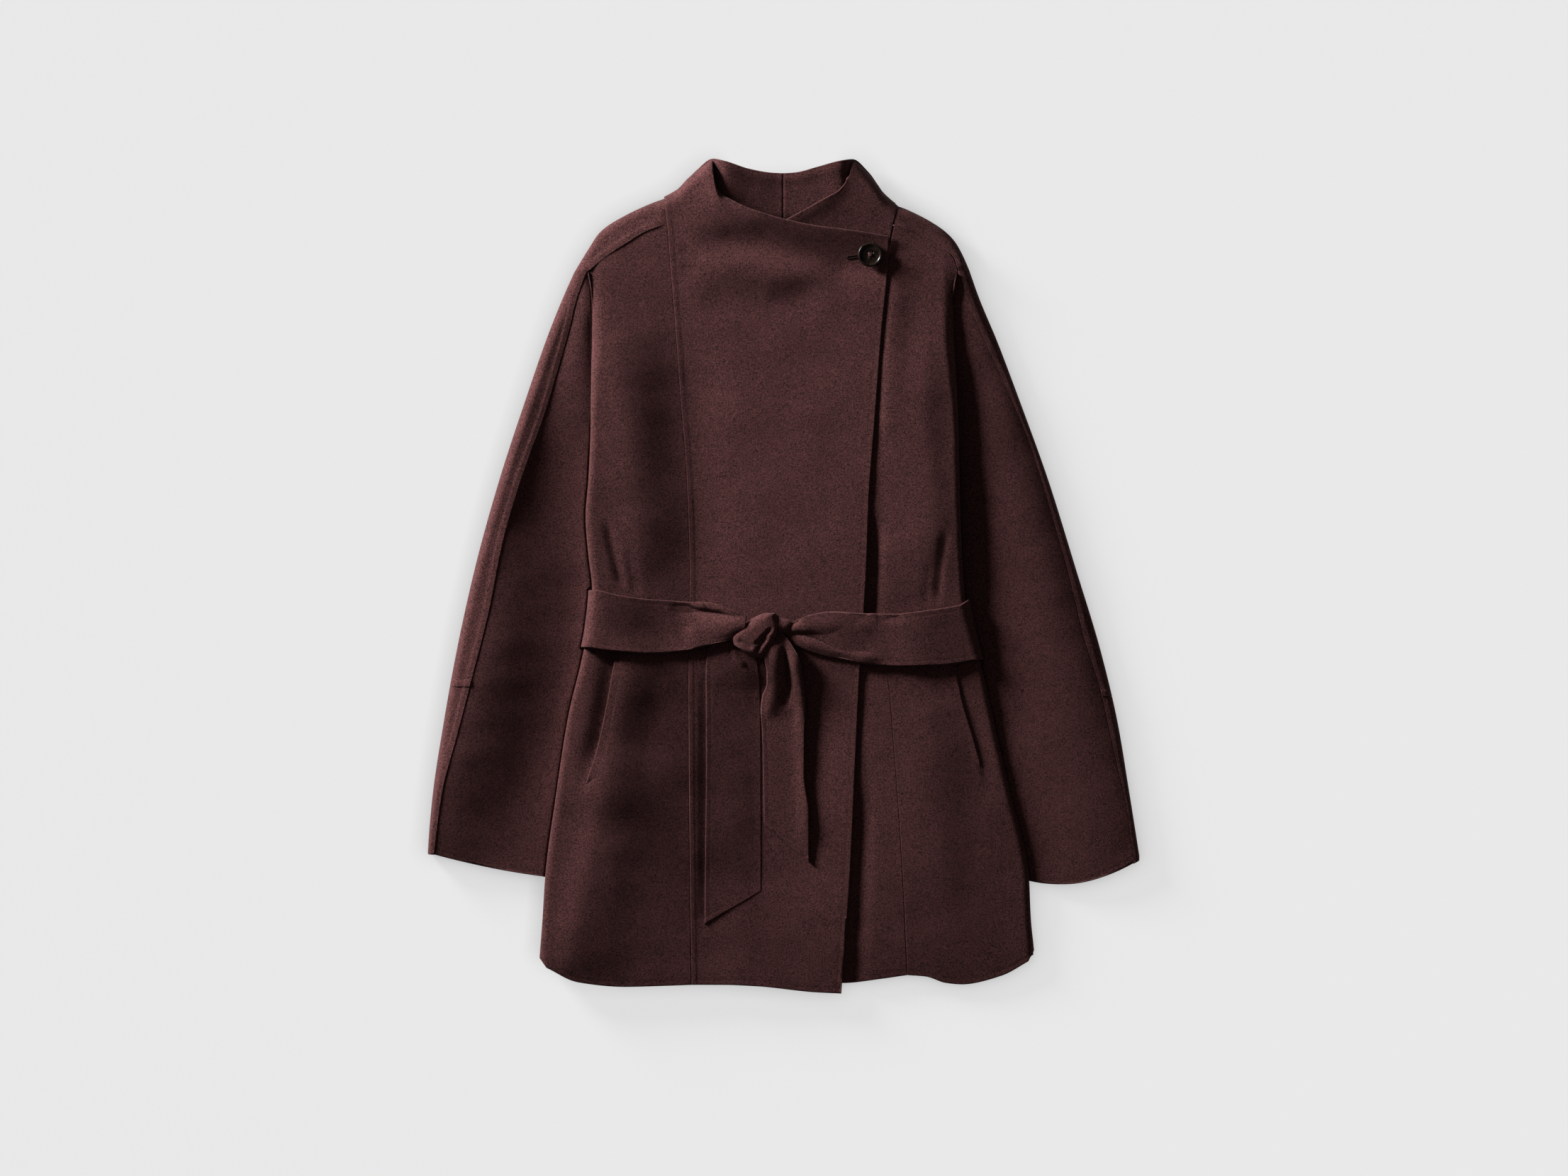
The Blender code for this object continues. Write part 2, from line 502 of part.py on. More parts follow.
def make_fronts(cloth):
    """The two centre fronts with their grown-on collars; the right one laps over the left one.

    The left one is made in two pieces, parted at the foot of its collar, where the right one hides it.
    """
    fronts = (("right_front", "over", right_princess, overlap_edge, RIGHT_FRONT_HEM, RIGHT_NECKLINE,
               RIGHT_FRONT_COLUMNS, RIGHT_NECK_ROLL, "start"),
              ("left_front", "under", hidden_edge, left_princess, LEFT_FRONT_HEM, LEFT_NECKLINE,
               LEFT_FRONT_COLUMNS, LEFT_NECK_ROLL, "end"))
    for name, layer, first, last, hem, neck, across, roll, level in fronts:
        start = seam_edge(lambda y, first=first: first(y) + SEAM_GAP / 2, hem[0].y, neck[0].y)
        end = seam_edge(lambda y, last=last: last(y) - SEAM_GAP / 2, hem[-1].y, neck[-1].y)
        plan = patch(start, end, path_edge(hem), path_edge(neck), reach=0.1)
        roll_u, roll_share = column(roll, "u"), column(roll, "share")

        def surface(u, v, layer=layer, plan=plan, roll_u=roll_u, roll_share=roll_share):
            at = plan(u, v)
            z = front_height(at[:, 0], at[:, 1], layer)
            away = np.clip(np.linalg.norm(plan(u, np.ones_like(v)) - at, axis=1) / COLLAR_ROLL, 0, 1)
            rolled = FOOT + (z - FOOT) * np.sqrt(1 - (1 - away) ** 2)
            share = np.interp(u, roll_u, roll_share)
            return lift(at, z + (rolled - z) * share)

        seam = 0 if level == "start" else -1
        top = neck[seam].y
        collar_rows = [top - below for below in COLLAR_ROWS]
        along = rows_between(hem[seam].y, top, *BODY_ROWS, COLLAR_LEVEL, *collar_rows)
        if layer == "over":
            sheet(name, surface, across, along, WALL, -1, cloth, (level,))
            continue
        split = BODY_ROWS[-1]
        below = rows_between(hem[seam].y, top, split - LAY_GAP - LEVEL_EDGE, split - LAY_GAP)[1:-1]
        above = rows_between(hem[seam].y, top, split, split + LEVEL_EDGE)[1:-1]
        low_rows = [*along[:len(BODY_ROWS)], *below]
        sheet(name, surface, across, low_rows, WALL, -1, cloth, (level, "last"))
        high_rows = [*above, *along[len(BODY_ROWS) + 1:]]
        sheet(f"{name}_collar", surface, across, high_rows, WALL, -1, cloth, (level, "first"))


class Sleeve:
    """Sections of one sleeve. Each row runs from its outer edge to its inner side, over the seam on top."""

    def __init__(self, sign, outline, overarm, shoulder, strip, armhole, loft, side, bow):
        self.sign, self.side, self.bow = sign, side, bow
        self.outline, self.overarm = curve(outline, "y", "x"), curve(overarm, "y", "x")
        self.shoulder, self.strip = path_edge(shoulder), path_edge(strip)
        self.tip, self.tip_y = shoulder[-1].u, shoulder[-1].y
        self.armhole = column(armhole, "y"), column(armhole, "x")
        self.heights = [curve(loft, "y", name) for name in ("seam", "outer", "inner", "rim")]
        self.back_row = curve(BACK_ROWS, "outer", "inner")
        self.front_row = curve(FRONT_ROWS, "outer", "inner")

    def outside(self, y):
        """Just clear of the body's side, and of the belt round it."""
        return self.side(y) + self.sign * (SLEEVE_ROOM + BELT_ROOM * back_rise(y) / BAND_RISE)

    def back_inner(self, y):
        straight = np.interp(y, *self.armhole) + self.sign * SEAM_GAP
        outside = self.outside(y)
        return outside + (straight - outside) * smoothstep((y - ARMPIT_Y) / ARMPIT_RAMP)

    def front_inner(self, y):
        under = self.side(y) - self.sign * ARMHOLE_TUCK
        outside = self.outside(y)
        return outside + (under - outside) * smoothstep((y - TUCK_Y) / TUCK_RAMP)

    def cuff_bow(self, y, share):
        """The cuff's edge sags in its middle."""
        return -self.bow * 4 * share * (1 - share) * smoothstep((CUFF_Y - y) / CUFF_RAMP)

    def back_profile(self, u, seam, edge, inner, seam_z):
        """From the seam over the rolled outer edge (u 1 to 2) and back along the floor (u 2 to 3)."""
        out = edge - seam
        width = np.linalg.norm(out, axis=1, keepdims=True)
        roll = np.minimum(OUTER_ROLL, OUTER_ROLL_SHARE * width)
        out = out / width
        top = edge - out * roll
        top_z = seam_z - STRIP_FALL * (width - roll)[:, 0]
        turn = np.clip(u - 1, 0, 1)[:, None] * math.pi
        at = seam + (top - seam) * np.clip(u, 0, 1)[:, None]
        at = at + out * roll * np.sin(turn)
        at = at + (inner - top) * np.clip(u - 2, 0, 1)[:, None]
        rounding = 0.5 * (1 + np.cos(turn[:, 0]))
        return lift(at, np.where(u <= 1, seam_z + (top_z - seam_z) * np.clip(u, 0, 1), top_z * rounding))

    def shoulder_back(self, u, share):
        seam, edge = self.shoulder(share * self.tip), self.strip(share * self.tip)
        out = edge - seam
        y, x = (line[1] + (line[-1] - line[1]) * (1 - share) for line in self.armhole)
        seam_z = front_height(seam[:, 0], seam[:, 1])
        seam = seam + out / np.linalg.norm(out, axis=1, keepdims=True) * 2 * SEAM_GAP
        return self.back_profile(u, seam, edge, pair(x + self.sign * SEAM_GAP, y), seam_z)

    def arm_back(self, u, y):
        inner_y = self.back_row(y)
        at = self.back_profile(u, pair(self.overarm(y), y), pair(self.outline(y), y),
                               pair(self.back_inner(inner_y), inner_y), self.heights[0](y))
        share = np.abs(at[:, 0] - self.outline(y)) / np.abs(self.back_inner(inner_y) - self.outline(y))
        at[:, 1] += self.cuff_bow(y, np.clip(share, 0, 1))
        return at

    def back(self, u, v):
        """v 0 to 1 runs along the shoulder; past 1 it grows by a thousandth a millimetre down the arm."""
        arm = self.arm_back(u, self.tip_y - 1000 * np.maximum(v - 1, 0))
        return np.where((v < 1)[:, None], self.shoulder_back(u, np.clip(v, 0, 1)), arm)

    def front(self, u, y):
        """From the overarm seam to the inner side (u 0 to 1), then rolled down to its foot (u 1 to 2)."""
        inner_y = self.front_row(y)
        gap = SEAM_GAP + TIP_GAP * smoothstep((y - TIP_Y) / TIP_RAMP)
        seam = pair(self.overarm(y) - self.sign * gap, y)
        inner = pair(self.front_inner(inner_y), inner_y)
        across = inner - seam
        width = np.linalg.norm(across, axis=1, keepdims=True)
        rim = inner - across / width * np.minimum(SLEEVE_ROLL, SLEEVE_ROLL_SHARE * width)
        share = np.clip(u, 0, 1)
        turn = np.clip(u - 1, 0, 1) * math.pi / 2
        at = seam + (rim - seam) * share[:, None] + (inner - rim) * np.sin(turn)[:, None]
        seam_z, outer_z, inner_z, rim_z = (at_y(y) for at_y in self.heights)
        low, high = 1 - share, share
        z = (seam_z * low ** 3 + 3 * (1.5 * outer_z - 0.5 * seam_z) * low ** 2 * high
             + 3 * (1.5 * inner_z - 0.5 * rim_z) * low * high ** 2 + rim_z * high ** 3)
        foot = sleeve_foot(inner_y)
        at[:, 1] += self.cuff_bow(y, share)
        return lift(at, np.where(u > 1, foot + (z - foot) * np.cos(turn), z))


def make_sleeves(cloth):
    """Each sleeve has a front, a back with the shoulder strip, and a forearm piece below the cross seam."""
    right = Sleeve(-1, RIGHT_OUTLINE, RIGHT_OVERARM, RIGHT_SHOULDER, RIGHT_STRIP, RIGHT_ARMHOLE,
                   RIGHT_SLEEVE_LOFT, right_side, RIGHT_CUFF_SAG)
    left = Sleeve(1, LEFT_OUTLINE, LEFT_OVERARM, LEFT_SHOULDER, LEFT_STRIP, LEFT_ARMHOLE,
                  LEFT_SLEEVE_LOFT, left_side, LEFT_CUFF_SAG)
    sleeves = (("right", right, RIGHT_CROSS_SEAM, RIGHT_CUFF), ("left", left, LEFT_CROSS_SEAM, LEFT_CUFF))
    for name, sleeve, cross, cuff in sleeves:
        sign = sleeve.sign
        levels = (*SLEEVE_ROWS, cross + SEAM_GAP + LEVEL_EDGE, cross + SEAM_GAP)
        back = (*SHOULDER_SHARES, *(1 + (sleeve.tip_y - y) / 1000 for y in levels))
        sheet(f"{name}_sleeve_back", sleeve.back, SLEEVE_BACK_COLUMNS, back, WALL, sign, cloth,
              ("start", "first", "last"))
        forearm = (cross, cross - LEVEL_EDGE, *FOREARM_ROWS, cuff)
        sheet(f"{name}_forearm_back", sleeve.arm_back, SLEEVE_BACK_COLUMNS, forearm, WALL, sign, cloth,
              ("start", "first"))
        front = (FRONT_TIP_Y, *SLEEVE_ROWS, cross, *FOREARM_ROWS, cuff)
        sheet(f"{name}_sleeve_front", sleeve.front, SLEEVE_FRONT_COLUMNS, front, WALL, -sign, cloth,
              ("start",))


def make_pocket_lips(cloth):
    """A narrow turned lip along each slanted pocket mouth, laid on its side front."""
    for name, route, sign in (("right_pocket_lip", RIGHT_POCKET, -1), ("left_pocket_lip", LEFT_POCKET, 1)):
        x, y = curve(route, "s", "x"), curve(route, "s", "y")

        def surface(u, v, x=x, y=y, sign=sign):
            at = pair(x(v) - sign * LIP_WIDTH * u, y(v))
            return lift(at, front_height(at[:, 0], at[:, 1]) + LAY_GAP)

        sheet(name, surface, (0, 0.5, 1), np.linspace(0, 1, 9), LIP_WALL, sign, cloth)


def make_belt(cloth):
    """The belt: two front stretches that wrap the sides, the stretch behind, the knot and two ends."""
    stretches = (("belt_right", BELT_RIGHT, -1, right_side), ("belt_left", BELT_LEFT, 1, left_side))
    for name, rows, sign, side in stretches:
        high, low = curve(rows, "x", "high"), curve(rows, "x", "low")
        outer, inner = (rows[0].x, rows[-1].x) if sign < 0 else (rows[-1].x, rows[0].x)

        def surface(u, v, sign=sign, side=side, high=high, low=low, outer=outer, inner=inner):
            x = inner + (outer - inner) * np.minimum(u, 1)
            y = low(x) + (high(x) - low(x)) * v
            crest = side(y) - sign * SIDE_ROLL
            x = x + (crest - outer) * smoothstep((np.minimum(u, 1) - 0.8) / 0.2)
            turn = np.clip(u - 1, 0, 1) * math.pi / 2
            z = bed_height(x, y) + BELT_GAP
            foot = FOOT + BAND_RISE
            x = x + sign * (SIDE_ROLL + BELT_TURN) * np.sin(turn)
            rolled = foot + (z - foot) * np.cos(turn)
            down = (foot - BELT_WALL - BELT_SEAT) * np.clip(u - 2, 0, 1)
            return lift(pair(x, y), np.where(u > 1, rolled - down, z))

        sheet(name, surface, BELT_COLUMNS, np.linspace(0, 1, 5), BELT_WALL, sign, cloth)

    def behind(u, v):
        y = BELT_BACK_LOW + BELT_BACK_WIDTH * v - BELT_BACK_SLANT * u
        first = right_side(y) - BELT_TURN - BELT_WALL
        last = left_side(y) + BELT_TURN + BELT_WALL
        return lift(pair(first + (last - first) * u, y), np.zeros_like(u))

    sheet("belt_back", behind, np.linspace(0, 1, 9), np.linspace(0, 1, 4), BELT_WALL, 1, cloth)
    for name, rows, slant, along in (("belt_tail_right", TAIL_RIGHT, TAIL_RIGHT_SLANT, 10),
                                     ("belt_tail_left", TAIL_LEFT, TAIL_LEFT_SLANT, 9)):
        left, right = curve(rows, "y", "left"), curve(rows, "y", "right")
        top, end = rows[0].y, rows[-1].y
        lower_right = name == "belt_tail_left"

        def surface(u, v, left=left, right=right, top=top, end=end, slant=slant, lower_right=lower_right):
            short = 1 - u if lower_right else u
            y = end + slant * short + (top - end - slant * short) * v
            x = left(y) + (right(y) - left(y)) * u
            return lift(pair(x, y), bed_height(x, y) + LAY_GAP)

        sheet(name, surface, np.linspace(0, 1, 6), np.linspace(0, 1, along + 1), BELT_WALL, 1, cloth)
    make_knot(cloth)


def make_knot(cloth):
    """The knot is one oval lump with a flattened underside, on the crossing of the stretches."""
    bm = bmesh.new()
    bmesh.ops.create_uvsphere(bm, u_segments=20, v_segments=12, radius=1)
    points = np.array([vert.co for vert in bm.verts])
    along, across = points[:, 0] * KNOT_HALF[0], points[:, 1] * KNOT_HALF[1]
    x = KNOT_AT[0] + along * math.cos(KNOT_ANGLE) - across * math.sin(KNOT_ANGLE)
    y = KNOT_AT[1] + along * math.sin(KNOT_ANGLE) + across * math.cos(KNOT_ANGLE)
    floor = float(bed_height(*KNOT_AT)) + KNOT_SEAT
    z = floor + KNOT_HALF[2] * (1 + points[:, 2])
    for vert, point in zip(bm.verts, lift(pair(x, y), z) * MM):
        vert.co = point
    mesh = bpy.data.meshes.new("belt_knot")
    bm.to_mesh(mesh)
    bm.free()
    mesh.shade_smooth()
    keep("belt_knot", mesh, cloth)


def make_button(horn):
    """A turned button with a raised rim and four holes, seated on the lapping front."""
    bm = bmesh.new()
    verts = [bm.verts.new((row.radius * MM, 0, row.z * MM)) for row in BUTTON_PROFILE]
    for first, second in zip(verts, verts[1:]):
        bm.edges.new((first, second))
    mesh = bpy.data.meshes.new("button")
    bm.to_mesh(mesh)
    bm.free()
    button = keep("button", mesh, horn)
    seat = float(front_height(*BUTTON_AT, "over"))
    button.location = (BUTTON_AT[0] * MM, BUTTON_AT[1] * MM, (seat + 2 * LAY_GAP) * MM)
    screw = button.modifiers.new("turn", "SCREW")
    screw.steps = screw.render_steps = 28
    screw.use_merge_vertices = True
    screw.merge_threshold = 0.00001
    for k in range(4):
        turn = math.pi / 4 + k * math.pi / 2
        drill = bpy.data.objects.new(f"drill_{k}", drill_mesh())
        drill.location = button.location
        drill.location.x += HOLE_OFFSET * math.cos(turn) * MM
        drill.location.y += HOLE_OFFSET * math.sin(turn) * MM
        drill.hide_render = True
        drill.display_type = "WIRE"
        cutters.objects.link(drill)
        cut = button.modifiers.new(f"hole_{k}", "BOOLEAN")
        cut.object = drill


def drill_mesh():
    bm = bmesh.new()
    bmesh.ops.create_cone(bm, cap_ends=True, segments=8, radius1=HOLE_RADIUS * MM, radius2=HOLE_RADIUS * MM,
                          depth=4 * BUTTON_THICK * MM)
    mesh = bpy.data.meshes.new("drill")
    bm.to_mesh(mesh)
    bm.free()
    return mesh


for leftover in list(bpy.data.objects):
    bpy.data.objects.remove(leftover)
coat = bpy.data.collections.new("belted_coat")
cutters = bpy.data.collections.new("cutters")
bpy.context.scene.collection.children.link(coat)
bpy.context.scene.collection.children.link(cutters)

wool = fabric_material("wool", (0.052, 0.021, 0.020), 0.95)
horn_look = fabric_material("horn", (0.022, 0.012, 0.010), 0.35)
make_back(wool)
make_back_collars(wool)
make_side_fronts(wool)
make_fronts(wool)
make_sleeves(wool)
make_pocket_lips(wool)
make_belt(wool)
make_button(horn_look)
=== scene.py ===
from collections import namedtuple
import math

import bmesh
import bpy
import numpy as np
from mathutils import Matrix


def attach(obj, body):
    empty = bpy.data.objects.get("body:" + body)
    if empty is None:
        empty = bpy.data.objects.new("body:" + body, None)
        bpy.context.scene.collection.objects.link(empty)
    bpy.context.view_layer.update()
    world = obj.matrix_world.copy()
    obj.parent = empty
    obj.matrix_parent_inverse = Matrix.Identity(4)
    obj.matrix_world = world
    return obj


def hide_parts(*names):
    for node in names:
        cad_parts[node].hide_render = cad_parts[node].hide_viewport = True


# Belted wool coat, buttoned, tied and laid flat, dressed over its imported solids.
# The tables are in millimetres and the meshes in metres. The wearer's right lies at -X, the collar at +Y.
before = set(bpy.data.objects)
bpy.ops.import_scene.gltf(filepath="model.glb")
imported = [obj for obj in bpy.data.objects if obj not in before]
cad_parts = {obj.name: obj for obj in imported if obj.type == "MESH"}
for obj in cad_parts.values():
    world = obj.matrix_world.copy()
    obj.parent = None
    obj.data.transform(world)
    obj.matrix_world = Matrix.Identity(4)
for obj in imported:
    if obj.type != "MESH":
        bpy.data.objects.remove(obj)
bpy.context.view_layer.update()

MM = 0.001

# Cloth walls, clearances and the least height of the fronts
WALL, BELT_WALL, LIP_WALL = 2.4, 3.0, 1.6
SEAM_GAP, LAY_GAP = -0.12, 0.8
FOOT = WALL + 1.4
LEAST_LAY, LAY_EASE = 5.6, 0.8

# Lap of the right front, and how the left front sinks below it
OVER_STEP, OVER_RAMP, LAP_REACH, BED_RAMP = 3.2, 24.0, 60.0, 70.0
HIDDEN_EDGE_X, HIDDEN_SINK = -56.0, 0.6
COLLAR_SINK, COLLAR_SINK_LOW, COLLAR_SINK_HIGH, SINK_RAMP = 4.2, 265.0, 350.0, 25.0

# Sides of the body, and the back with its rise over the belt
SIDE_ROLL, SHOULDER_ROLL, ROLL_LOW, ROLL_RAMP = 4.5, 9.0, 130.0, 110.0
OVERHANG, OVERHANG_DROP = 2.6, 10.0
RIGHT_SIDE_ENDS, LEFT_SIDE_ENDS = (-388.0, 308.0), (-381.0, 311.0)
TIP_REACH, PATCH_REACH, FRONT_REACH = 0.06, 0.2, 0.1
BACK_INSET, ARMPIT_Y, ARMPIT_RAMP = 1.0, 115.0, 35.0
BAND_LOW, BAND_HIGH, BAND_RAMP = -86.0, -8.0, 30.0
BAND_RISE = BELT_WALL + 0.4

# Collar
COLLAR_ROLL, COLLAR_DEPTH, COLLAR_END = 14.0, 58.0, 0.985
STAND_RAMP, STAND_SHARE = 0.3, 0.55
TOP_ROLL, TOP_ROLL_AT, TOP_ROLL_WIDTH = 0.8, 6.0, 4.5
PEAK_RISE, PEAK_WIDTH, RIGHT_PEAK, LEFT_PEAK = 6.5, 0.06, 0.2, 0.71

# Sleeves and shoulder strips
SLEEVE_ROLL, SLEEVE_ROLL_SHARE, SLEEVE_ROOM = 4.5, 0.4, 0.9
OUTER_ROLL, OUTER_ROLL_SHARE = 9.0, 0.72
TUCK_Y, TUCK_RAMP, ARMHOLE_TUCK = 147.0, 30.0, 1.5
TIP_Y, TIP_RAMP, TIP_GAP, FRONT_TIP_Y = 250.0, 30.0, 0.15, 310.0
COLLAR_JOIN, COLLAR_TUCK, TUCK_SHARE, UNDER_FROM = 0.15, 0.5, 0.05, 1.5
SHOULDER_LAP, STRIP_TUCK, STRIP_TUCK_SHARE = 0.7, 1.6, 0.1
CUFF_Y, CUFF_RAMP, RIGHT_CUFF, LEFT_CUFF = -200.0, 78.0, -282.5, -289.5
RIGHT_CUFF_SAG, LEFT_CUFF_SAG = 2.0, 12.0
RIGHT_CROSS_SEAM, LEFT_CROSS_SEAM = -112.0, -122.0
RIGHT_ROOM, LEFT_ROOM = (-73.5, -13.0), (-87.0, -27.0)
BELT_ROOM, ROOM_RAMP, ROOM_REACH = 3.4, 2.5, 8

# Belt, its hanging ends and its knot, and the pocket lips
BELT_GAP, BELT_SEAT, BELT_TURN, BELT_FLICK, BELT_MEET = 1.2, 0.6, 2.0, 7.0, 0.2
BELT_OVER, BELT_OVER_X, BELT_OVER_RAMP = 3.0, -170.0, 90.0
BELT_BACK_LOW, BELT_BACK_WIDTH, BELT_BACK_SLANT = -75.0, 61.0, 3.0
BUNCH_LENGTH, BUNCH_HEIGHT, CREASE_LEAST = 50.0, 6.0, -0.5
TAIL_RIGHT_SLANT, TAIL_LEFT_SLANT, END_LEAN = 33.0, 40.0, 0.8
TAIL_LIFT, TAIL_LIFT_TOP, TAIL_LIFT_END = 7.0, -70.0, -145.0
TAIL_DIP_TOP, TAIL_DIP_RAMP = -50.0, 24.0
TAIL_SINK, TAIL_SINK_RIGHT = 2.4, 2.8
KNOT_HEIGHT, KNOT_FOOT, KNOT_ROUNDNESS = 19.0, -2.0, 5.5
KNOT_CENTRE, KNOT_CORNER = (-28.0, -59.0), 0.16
LIP_WIDTH, LIP_RISE, LIP_FALL, LIP_END = 9.0, 0.3, 0.38, 0.06

# Button and its thread
BUTTON_AT, BUTTON_THICK, BUTTON_DISH = (88.0, 326.0), 4.6, 3.3
BUTTON_STEPS, BUTTON_MERGE, DRILL_SIDES = 96, 0.00001, 24
HOLE_RADIUS, HOLE_OFFSET = 1.25, 2.7
THREAD_RADIUS, THREAD_APART, THREAD_POINTS, STRAND_SIDES = 0.36, 0.55, 15, 6
THREAD_REACH, THREAD_SUNK, THREAD_ARCH, THREAD_CROSSING, THREAD_SQUARENESS = 1.06, 2.2, 2.6, 0.5, 5

# Buttonhole: worked stitches round a slit, from its eye on the left to the button
HOLE_EYE, HOLE_END, HOLE_STITCHES, EYE_STITCHES = (66.0, 323.4), (80.0, 325.4), 30, 9
STITCH_RADIUS, STITCH_LENGTH, STITCH_POINTS = 0.32, 1.6, 7
STITCH_HEIGHT, STITCH_SUNK, STITCH_START = 0.75, 0.25, 0.12
# The slit's half width, and the near-black strand in it that paints the opening's shade: its radius, sinking
# and points.
SLIT_HALF, SLIT_RADIUS, SLIT_SUNK, SLIT_POINTS = 0.5, 0.6, 0.15, 9

# Rounded borders of the shells
ROUNDING, SEAM_ROUNDING, ROUNDING_SHARE, ROUNDING_SEGMENTS = 1.0, 0.4, 0.42, 5
TINY = 1e-9

# Raised strips beside seams (width, height and soft step), sewn lines along borders, loose waves and folds
WELT = (4.2, 0.35, 1.3)
LAP = (5.6, 0.7, 1.6)
BORDER_AT, BORDER_DEPTH, BORDER_HALF = 5.0, 0.16, 1.3
RIPPLE_COUNT, RIPPLE_SEED = 16, 11
RIPPLE_SHORT, RIPPLE_LONG, RIPPLE_STEEPNESS = 30.0, 110.0, 0.0013
FOLD_FADE = 0.25

# Steps of the grids, the lengths that they divide, and the samples round the rolled edges
STEP, COARSE_STEP, BELT_STEP, FINE_STEP, FINE_MARGIN = 2.6, 7.0, 1.6, 1.2, 9.0
BACK_SPAN, COLLAR_SPAN, PANEL_SPAN, FRONT_SPANS = 430, 120, 105, (180, 800)
STRIP_SPAN, SHOULDER_SPAN, LIP_SPAN = 26, 110, 125
BELT_SPAN, BELT_BACK_SPAN, TAIL_SPAN, KNOT_SPANS = 58, 390, 54, (48, 58)
SIDE_SAMPLES, EDGE_SAMPLES, INNER_SAMPLES, BELT_SAMPLES = 14, 15, 7, 11

# Materials: the sockets of a colour mix, the wool's nap and the darker fibres of threads
MIX_SHARE, MIX_FIRST, MIX_SECOND, MIX_RESULT = 0, 6, 7, 2
FIBRE_WEIGHT, CLOUD_WEIGHT, NAP_RANGE = 0.3, 0.07, (0.56, 0.81)
THREAD_SHADE = 0.6

# Stage, light and camera
FRAME_WIDTH, FRAME_CENTRE, FRAME_HEIGHT_Z = 1592.6, (0.7, -11.9), 12.0
CAMERA_HEIGHT, SENSOR = 6000.0, 36.0
FLOOR_HALF, FLOOR_Z, FLOOR_GLOW, FLOOR_SHADE = 4.0, -0.0003, 0.735, 0.085
# How far and how strongly ambient occlusion darkens the floor's glow near the coat: a painted contact shadow.
CONTACT_REACH, CONTACT_PAINTED_SHADOW = 0.022, 0.5
FILL = 0.12
KEY_POWER, KEY_SIZE, KEY_DISTANCE, KEY_FADE = 283.0, 0.75, 2.6, 3
KEY_ELEVATION, KEY_HEADING = math.radians(13), math.radians(143)
KEY_OUT = KEY_DISTANCE * math.cos(KEY_ELEVATION)
KEY_PLACE = (KEY_OUT * math.cos(KEY_HEADING), KEY_OUT * math.sin(KEY_HEADING),
             KEY_DISTANCE * math.sin(KEY_ELEVATION))


def table(columns, *rows):
    Row = namedtuple("Row", columns)
    return [Row(*row) for row in rows]


def column(rows, name):
    return np.array([getattr(row, name) for row in rows], float)


# Outlines and seams, x at each y, from the hem up
RIGHT_SIDE = table("y x", (-388, -247), (-350, -243), (-302, -239), (-220, -227.5), (-140, -215),
    (-90, -203), (-50, -195), (-12, -191.5), (20, -195), (60, -198), (100, -195), (150, -193),
    (220, -192.5), (285, -195), (308, -198))
LEFT_SIDE = table("y x", (-381, 255.5), (-350, 251), (-300, 247), (-220, 228), (-150, 212), (-85, 197),
    (-50, 187), (-15, 181), (50, 177.5), (150, 175), (250, 171.5), (290, 173), (316, 175.8))
RIGHT_PRINCESS = table("y x", (-415, -93), (-250, -95), (-100, -96), (0, -95), (100, -98), (190, -105),
    (260, -110), (320, -115), (358, -118), (386, -121.5))
LEFT_PRINCESS = table("y x", (-405.5, 126), (-300, 121), (-170, 112), (-95, 105), (-60, 93), (-35, 84),
    (0, 82), (80, 85), (160, 91), (250, 98), (300, 103), (345, 109), (377, 116.5))
OVERLAP_EDGE = table("y x", (-424, 59), (-300, 68), (-170, 74), (-90, 78), (0, 84), (80, 87), (160, 93),
    (250, 100), (300, 105), (345, 107.5))
RIGHT_OUTLINE = table("y x", (-284, -361.5), (-262, -360), (-221, -356), (-149, -345), (-77, -332),
    (9, -313), (96, -289), (182, -261), (240, -241), (283, -224), (312, -211))
LEFT_OUTLINE = table("y x", (-284, 362), (-221, 352), (-149, 340), (-77, 323), (9, 297), (96, 270),
    (182, 239), (240, 217), (283, 199), (314, 188))
RIGHT_OVERARM = table("y x", (-284, -355), (-215, -345), (-160, -330), (-112, -317.5), (-35, -298),
    (35, -284), (100, -265), (170, -240), (208, -229), (250, -217), (283, -209), (312, -198.5))
LEFT_OVERARM = table("y x", (-284, 355.5), (-240, 350), (-195, 340), (-155, 331), (-118, 323), (-60, 305),
    (-10, 293), (65, 272), (135, 250), (186, 229), (240, 205), (283, 187), (314, 177))
RIGHT_ARMHOLE = table("y x", (150, -191.5), (280, -190), (357, -117))
LEFT_ARMHOLE = table("y x", (150, 173.5), (280, 169), (357, 112.5))

# Where the rows of the sleeves' backs and fronts, by the y of their outer end, end on the inner side
BACK_ROWS = table("outer inner", (-290, -310), (-278, -303), (-238, -254), (-200, -205), (-112, -113),
    (100, 100), (147, 150), (240, 228), (309, 280))
FRONT_ROWS = table("outer inner", (-290, -310), (-278, -303), (-238, -254), (-200, -205), (-112, -113),
    (100, 100), (314, 314))

# Short edges of the panels, by share of the panel's width
BACK_HEM = table("u x y", (0, -245.5, -385), (0.05, -225, -402), (0.2, -150, -412), (0.5, 0, -413),
    (0.62, 62, -409), (0.72, 112, -401), (0.8, 150, -406), (0.95, 232, -397), (1, 254.5, -385))
RIGHT_SIDE_HEM = table("u x y", (0, -93, -415), (0.2, -120, -416), (0.45, -160, -417), (0.75, -208, -412.5),
    (1, -240.5, -397.5))
LEFT_SIDE_HEM = table("u x y", (0, 126, -405.5), (0.15, 145, -407), (0.3, 165, -413.5), (0.45, 182, -415),
    (0.75, 222, -406), (1, 249, -391.5))
RIGHT_SHOULDER = table("u x y", (0, -118, 358), (0.3, -140, 350), (0.6, -160, 338), (0.85, -177, 327),
    (1, -187, 319.5), (1.15, -199.5, 309))
LEFT_SHOULDER = table("u x y", (0, 113, 357.5), (0.3, 130, 350), (0.65, 150, 341), (1, 164.8, 332),
    (1.15, 174, 324), (1.3, 178, 311))
